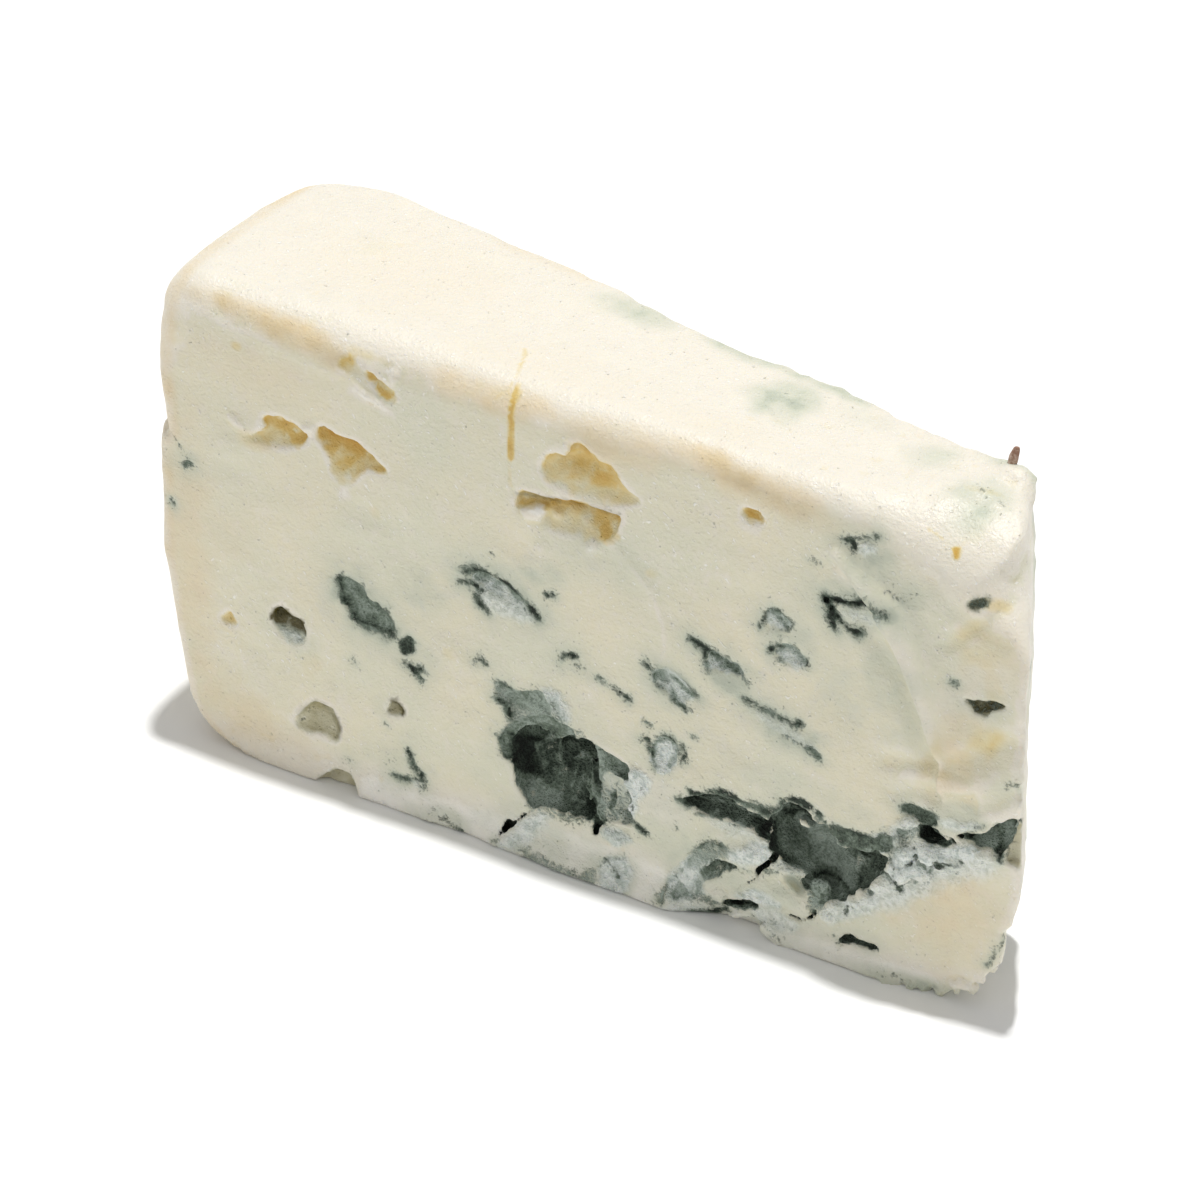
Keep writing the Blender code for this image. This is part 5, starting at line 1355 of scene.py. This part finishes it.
paste = {
    "ivory": "#e7e0c6",
    "damp": "#dfddc6",
    "greenDamp": "#cacdba",
    "greenDark": "#8f9a8c",
    "honey": "#dfc983",
    "honeyDeep": "#cf9f38",
    "brown": "#4f4712",
    "pinkCream": "#e4d1ab",
    # white crust, and the painted light of the foot, the long ridge and the crests
    "crustAndLight": "#e9e3d5",
    # white flakes, and the painted glints and strongest painted light
    "flake": "#fbf8f1",
    "bloomLight": "#eef2ec",
    "bloomGrey": "#c3cdc6",
    "mouldDeep": "#11160f",
    "mouldDark": "#333f33",
    "mouldGrey": "#717e6f",
    "mouldDust": "#a6b2a6",
    "cloudMm": 12.0,     # damp clouds in the paste
    "mottleMm": 2.4,     # mottling of its colour and shine
    "grainMm": 0.6,      # curd grains
    "fuzzMm": 0.3,       # real threads are finer, drawn as coarse as they need to show
    "glintFleckMm": 0.35,     # painted glints: short white flecks where the damp fat would shine
    "glintFleckLongMm": 0.6,
    "glintFleckSlopeDeg": -38.0,
    "reliefMm": 0.2,
    "seeThroughMm": 0.55,     # how far light goes in
}
# what a painted layer turns the paste to, and the stretch of it over which that grows
stains = (("cream", "pinkCream", 0.0, 1.0), ("green", "greenDamp", 0.0, 0.6), ("green", "greenDark", 0.5, 1.2),
          ("yellow", "honey", 0.12, 0.75), ("yellow", "honeyDeep", 0.5, 1.25), ("brown", "brown", 0.0, 0.65))


def pasteMaterial():
    # ewe's milk blue cheese, cut with a blade: damp, fatty, a little see-through, so light goes
    # in and edges glow, with a soft broken shine; its mould is a dry dark felt with no shine
    material, tree, shader = newMaterial("ewesMilkPasteKnifeCut")
    place = addNode(tree, "TexCoord").outputs["Object"]
    layer = {name: addNode(tree, "Attribute", {"attribute_name": name}).outputs["Fac"]
             for name in paintLayers}

    def scaleOf(sizeMm):
        # noise features are about as wide as one over its scale, in metres
        return 1.0 / (sizeMm * mm)

    noises = {}
    for name, detail, rough in (("cloud", 2.0, 0.5), ("mottle", 3.0, 0.5), ("grain", 2.0, 0.5),
                                ("fuzz", 2.0, 0.65)):
        settings = {"Scale": scaleOf(paste[name + "Mm"]), "Detail": detail, "Roughness": rough}
        noises[name] = addNode(tree, "TexNoise", settings, {"Vector": place}).outputs["Fac"]
    cloud, mottle, grain, fuzz = noises.values()
    slope = (0.0, math.radians(paste["glintFleckSlopeDeg"]), 0.0)
    turned = addNode(tree, "Mapping", {"Rotation": slope}, {"Vector": place}).outputs["Vector"]
    longer = (paste["glintFleckMm"] / paste["glintFleckLongMm"], 1.0, 1.0)
    drawn = addNode(tree, "Mapping", {"Scale": longer}, {"Vector": turned}).outputs["Vector"]
    glintFleck = addNode(tree, "TexNoise", {"Scale": scaleOf(paste["glintFleckMm"]), "Detail": 1.0},
                    {"Vector": drawn}).outputs["Fac"]
    glintFleck = addNode(tree, "MapRange", {"From Min": 0.66, "From Max": 0.74},
                    {"Value": glintFleck}).outputs["Result"]

    # paste: ivory clouded with a damper, greener tone, whitened where the crust layer holds crust or painted
    # light, with short white flecks that are painted glints of the damp fat
    tone = {name: srgb(value) for name, value in paste.items() if isinstance(value, str)}
    cloudy = addNode(tree, "MapRange", {"From Min": 0.36, "From Max": 0.64}, {"Value": cloud})
    colour = addNode(tree, "Mix", {"data_type": "RGBA", 6: tone["ivory"], 7: tone["damp"]},
                     {0: cloudy.outputs["Result"]}).outputs[2]
    whitened = addNode(tree, "MapRange", {"From Min": 0.5, "From Max": 0.75, "To Max": 0.5},
                       {"Value": mottle}).outputs["Result"]
    curdy = addNode(tree, "MapRange", {"From Min": 0.45, "From Max": 0.75, "To Max": 0.4},
                    {"Value": grain}).outputs["Result"]
    whitened = addNode(tree, "Math", {"operation": "ADD"}, {0: whitened, 1: curdy}).outputs["Value"]
    crustyAndLit = addNode(tree, "MapRange", {"From Max": 0.75}, {"Value": layer["crustAndLight"]}).outputs["Result"]
    whitened = addNode(tree, "Math", {"operation": "MAXIMUM"}, {0: whitened, 1: crustyAndLit}).outputs["Value"]
    colour = addNode(tree, "Mix", {"data_type": "RGBA", 7: tone["crustAndLight"]},
                     {0: whitened, 6: colour}).outputs[2]
    # the flake white also takes the painted glints and the strongest painted light of the crust layer
    flakedAndLit = addNode(tree, "MapRange", {"From Min": 0.75}, {"Value": layer["crustAndLight"]}).outputs["Result"]
    flakedAndLit = addNode(tree, "Math", {"operation": "MULTIPLY_ADD", 1: 0.7},
                     {0: glintFleck, 2: flakedAndLit}).outputs["Value"]
    colour = addNode(tree, "Mix", {"data_type": "RGBA", 7: tone["flake"]}, {0: flakedAndLit, 6: colour}).outputs[2]
    patchy = addNode(tree, "MapRange", {"From Min": 0.3, "From Max": 0.7, "To Min": 0.65, "To Max": 1.3},
                     {"Value": mottle}).outputs["Result"]
    for name, stain, low, high in stains:
        spread = addNode(tree, "Math", {"operation": "MULTIPLY"}, {0: layer[name], 1: patchy})
        amount = addNode(tree, "MapRange", {"From Min": low, "From Max": high},
                         {"Value": spread.outputs["Value"]}).outputs["Result"]
        colour = addNode(tree, "Mix", {"data_type": "RGBA", 7: tone[stain]},
                         {0: amount, 6: colour}).outputs[2]

    # bloom: a bluish white crust that breaks up at its border and greys between its grains
    bloomEdge = addNode(tree, "Math", {"operation": "MULTIPLY_ADD", 1: 0.35},
                        {0: grain, 2: layer["bloom"]}).outputs["Value"]
    bloomMask = addNode(tree, "MapRange", {"From Min": 0.25, "From Max": 0.95},
                        {"Value": bloomEdge}).outputs["Result"]
    bloomTone = addNode(tree, "MapRange", {"From Min": 0.3, "From Max": 0.58},
                        {"Value": grain}).outputs["Result"]
    bloomColour = addNode(tree, "Mix", {"data_type": "RGBA", 6: tone["bloomGrey"], 7: tone["bloomLight"]},
                          {0: bloomTone}).outputs[2]
    colour = addNode(tree, "Mix", {"data_type": "RGBA"}, {0: bloomMask, 6: colour, 7: bloomColour}).outputs[2]

    # mould: its border frays with the fuzz, inside it runs from deep green-black to grey dust, following the
    # dust layer, which also holds the painted shade and painted light of the pockets and crests
    frayed = addNode(tree, "Math", {"operation": "MULTIPLY_ADD", 1: 0.65},
                     {0: fuzz, 2: layer["mould"]}).outputs["Value"]
    frayed = addNode(tree, "Math", {"operation": "MULTIPLY_ADD", 1: 0.65},
                     {0: grain, 2: frayed}).outputs["Value"]
    mouldMask = addNode(tree, "MapRange", {"From Min": 0.88, "From Max": 1.24},
                        {"Value": frayed}).outputs["Result"]
    fuzzy = addNode(tree, "MapRange", {"From Min": 0.3, "From Max": 0.7, "To Min": -0.06, "To Max": 0.24},
                    {"Value": fuzz}).outputs["Result"]
    shade = addNode(tree, "Math", {"operation": "MULTIPLY_ADD", 1: 0.8},
                    {0: layer["dust"], 2: fuzzy}).outputs["Value"]
    blotchy = addNode(tree, "Math", {"operation": "SUBTRACT", 1: 0.5}, {0: mottle}).outputs["Value"]
    shade = addNode(tree, "Math", {"operation": "MULTIPLY_ADD", 1: 0.8},
                    {0: blotchy, 2: shade}).outputs["Value"]
    thin = addNode(tree, "MapRange", {"From Min": 0.35, "From Max": 0.9, "To Min": 0.4, "To Max": 0.0},
                   {"Value": layer["mould"]}).outputs["Result"]
    shade = addNode(tree, "Math", {"operation": "ADD"}, {0: thin, 1: shade}).outputs["Value"]
    tones = addNode(tree, "ValToRGB", None, {"Fac": shade})
    tones.color_ramp.elements[0].color = tone["mouldDeep"]
    tones.color_ramp.elements[1].color = tone["mouldDust"]
    tones.color_ramp.elements.new(0.3).color = tone["mouldDark"]
    tones.color_ramp.elements.new(0.65).color = tone["mouldGrey"]
    colour = addNode(tree, "Mix", {"data_type": "RGBA"},
                     {0: mouldMask, 6: colour, 7: tones.outputs["Color"]}).outputs[2]
    tree.links.new(colour, shader.inputs["Base Color"])

    # shine: damp paste, dry mould and bloom
    wet = addNode(tree, "MapRange", {"From Min": 0.35, "From Max": 0.7, "To Min": 0.34, "To Max": 0.52},
                  {"Value": mottle}).outputs["Result"]
    dry = addNode(tree, "Math", {"operation": "MAXIMUM"}, {0: mouldMask, 1: bloomMask}).outputs["Value"]
    rough = addNode(tree, "Mix", {"data_type": "FLOAT", 3: 0.9}, {0: dry, 2: wet}).outputs[0]
    tree.links.new(rough, shader.inputs["Roughness"])
    shader.inputs["Specular IOR Level"].default_value = 0.5
    glow = addNode(tree, "MapRange", {"To Min": 0.4, "To Max": 0.0}, {"Value": mouldMask}).outputs["Result"]
    tree.links.new(glow, shader.inputs["Subsurface Weight"])
    shader.inputs["Subsurface Radius"].default_value = (1.0, 0.9, 0.7)
    shader.inputs["Subsurface Scale"].default_value = paste["seeThroughMm"] * mm

    # relief too fine for the mesh: grain, flecks and felt
    felt = addNode(tree, "Math", {"operation": "MULTIPLY"}, {0: fuzz, 1: dry}).outputs["Value"]
    height = addNode(tree, "Math", {"operation": "MULTIPLY", 1: 0.4}, {0: fuzz}).outputs["Value"]
    for rise, share in ((grain, 0.4), (glintFleck, 0.2), (felt, 1.6)):
        height = addNode(tree, "Math", {"operation": "MULTIPLY_ADD", 1: share},
                         {0: rise, 2: height}).outputs["Value"]
    bump = addNode(tree, "Bump", {"Strength": 1.0, "Distance": paste["reliefMm"] * mm}, {"Height": height})
    tree.links.new(bump.outputs["Normal"], shader.inputs["Normal"])
    return material


# studio

studio = {
    "azimuthDeg": 31.25,
    "elevationDeg": 33.45,
    "distanceM": 0.70568,
    "lensMm": 222.2,
    "aimAlongMm": 50.15,
    "aimHeightMm": 32.53,
    "skyStrength": 0.465,
    "keyPower": 37.0,
    "keySizeM": 0.09,
    "keyHeightM": 2.2,
    "keyBehindM": 0.115,
    "keyRightM": 0.018,
}


def makeStudio():
    scene = bpy.context.scene
    aim = Vector((boxLow.x + studio["aimAlongMm"] * mm, boxLow.y, boxLow.z + studio["aimHeightMm"] * mm))
    around, lift = math.radians(studio["azimuthDeg"]), math.radians(studio["elevationDeg"])
    towards = Vector((math.sin(around) * math.cos(lift), -math.cos(around) * math.cos(lift), math.sin(lift)))
    lens = bpy.data.cameras.new("studio_camera")
    lens.lens = studio["lensMm"]
    lens.sensor_width = 36.0
    lens.clip_start = 0.01
    lens.clip_end = 20.0
    camera = bpy.data.objects.new("studio_camera", lens)
    scene.collection.objects.link(camera)
    camera.location = aim + towards * studio["distanceM"]
    camera.rotation_euler = towards.to_track_quat("Z", "Y").to_euler()
    scene.camera = camera

    bpy.ops.mesh.primitive_plane_add(size=6.0, location=(0, 0, boxLow.z))
    floor = bpy.context.object
    floor.name = "studio_floor"
    # white paper, uncoated, so matt with hardly any shine
    paper, _, shader = newMaterial("whitePaperMatt")
    shader.inputs["Base Color"].default_value = srgb("#fafaf9")
    shader.inputs["Roughness"].default_value = 0.9
    shader.inputs["Specular IOR Level"].default_value = 0.1
    floor.data.materials.append(paper)

    world = bpy.data.worlds.new("studio_sky")
    world.use_nodes = True
    world.node_tree.nodes["Background"].inputs["Color"].default_value = (1.0, 1.0, 1.0, 1.0)
    world.node_tree.nodes["Background"].inputs["Strength"].default_value = studio["skyStrength"]
    scene.world = world

    # a small round softbox high above, for a short shadow with a soft rim
    softbox = bpy.data.lights.new("overhead_softbox", "AREA")
    softbox.shape = "DISK"
    softbox.size = studio["keySizeM"]
    softbox.energy = studio["keyPower"]
    lamp = bpy.data.objects.new("overhead_softbox", softbox)
    scene.collection.objects.link(lamp)
    lamp.location = (studio["keyRightM"], studio["keyBehindM"], studio["keyHeightM"])
    lamp.rotation_euler = Vector(lamp.location).to_track_quat("Z", "Y").to_euler()
    scene.view_settings.view_transform = "Standard"
    print("studio ready")


# a sliver of brown rind standing on the back edge of the top, near the tip
rindFlake = {
    "name": "rind_flake",
    "footMm": (87.4, 12.0, 52.6),
    "heightMm": 3.1,
    "widthMm": 1.0,
    "thickMm": 0.4,
    "leanMm": (0.6, 0.1),
    "fibreMm": 0.4,
    "brown": "#94705d",
    "brownPale": "#cdb5a6",
}


def makeRindFlake():
    # a tapering sliver, its rings uneven, closed at both ends
    rng = np.random.default_rng(12)
    rings, around = 9, 8
    points = []
    for ring in range(rings):
        share = ring / (rings - 1)
        wide = rindFlake["widthMm"] / 2 * (0.85 + 0.3 * math.sin(math.pi * share) - 0.3 * share ** 4)
        middle = [rindFlake["footMm"][axis] + rindFlake["leanMm"][axis] * share ** 1.5 for axis in (0, 1)]
        for step in range(around):
            angle = 2 * math.pi * step / around
            uneven = rng.uniform(0.85, 1.15)
            points.append((middle[0] + wide * uneven * math.cos(angle),
                           middle[1] + rindFlake["thickMm"] / 2 * uneven * math.sin(angle),
                           rindFlake["footMm"][2] + rindFlake["heightMm"] * share))
    faces = [list(range(around))[::-1], list(range((rings - 1) * around, rings * around))]
    for ring in range(rings - 1):
        for step in range(around):
            low, beside = ring * around + step, ring * around + (step + 1) % around
            faces.append([low, beside, beside + around, low + around])
    mesh = bpy.data.meshes.new(rindFlake["name"])
    mesh.from_pydata([tuple(np.array(point) * mm + np.array(boxLow)) for point in points], [], faces)
    piece = bpy.data.objects.new(rindFlake["name"], mesh)
    bpy.context.scene.collection.objects.link(piece)
    rounded = piece.modifiers.new("rounded", "SUBSURF")
    rounded.levels = rounded.render_levels = 2
    mesh.materials.append(rindMaterial())
    print("rind flake made")
    return piece


def rindMaterial():
    # dried brown rind, torn off: fibrous and matt, paler where it frayed
    material, tree, shader = newMaterial("driedRindTorn")
    place = addNode(tree, "TexCoord").outputs["Object"]
    fibre = addNode(tree, "TexNoise", {"Scale": 1.0 / (rindFlake["fibreMm"] * mm), "Detail": 2.0},
                    {"Vector": place}).outputs["Fac"]
    worn = addNode(tree, "MapRange", {"From Min": 0.4, "From Max": 0.65}, {"Value": fibre}).outputs["Result"]
    tones = {"data_type": "RGBA", 6: srgb(rindFlake["brown"]), 7: srgb(rindFlake["brownPale"])}
    colour = addNode(tree, "Mix", tones, {0: worn}).outputs[2]
    tree.links.new(colour, shader.inputs["Base Color"])
    shader.inputs["Roughness"].default_value = 0.75
    bump = addNode(tree, "Bump", {"Strength": 0.6, "Distance": 0.1 * mm}, {"Height": fibre})
    tree.links.new(bump.outputs["Normal"], shader.inputs["Normal"])
    return material


cheese = makeCheese()
flake = makeRindFlake()
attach(flake, "root")
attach(cheese, "root")
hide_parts("cheese_wedge")
makeStudio()
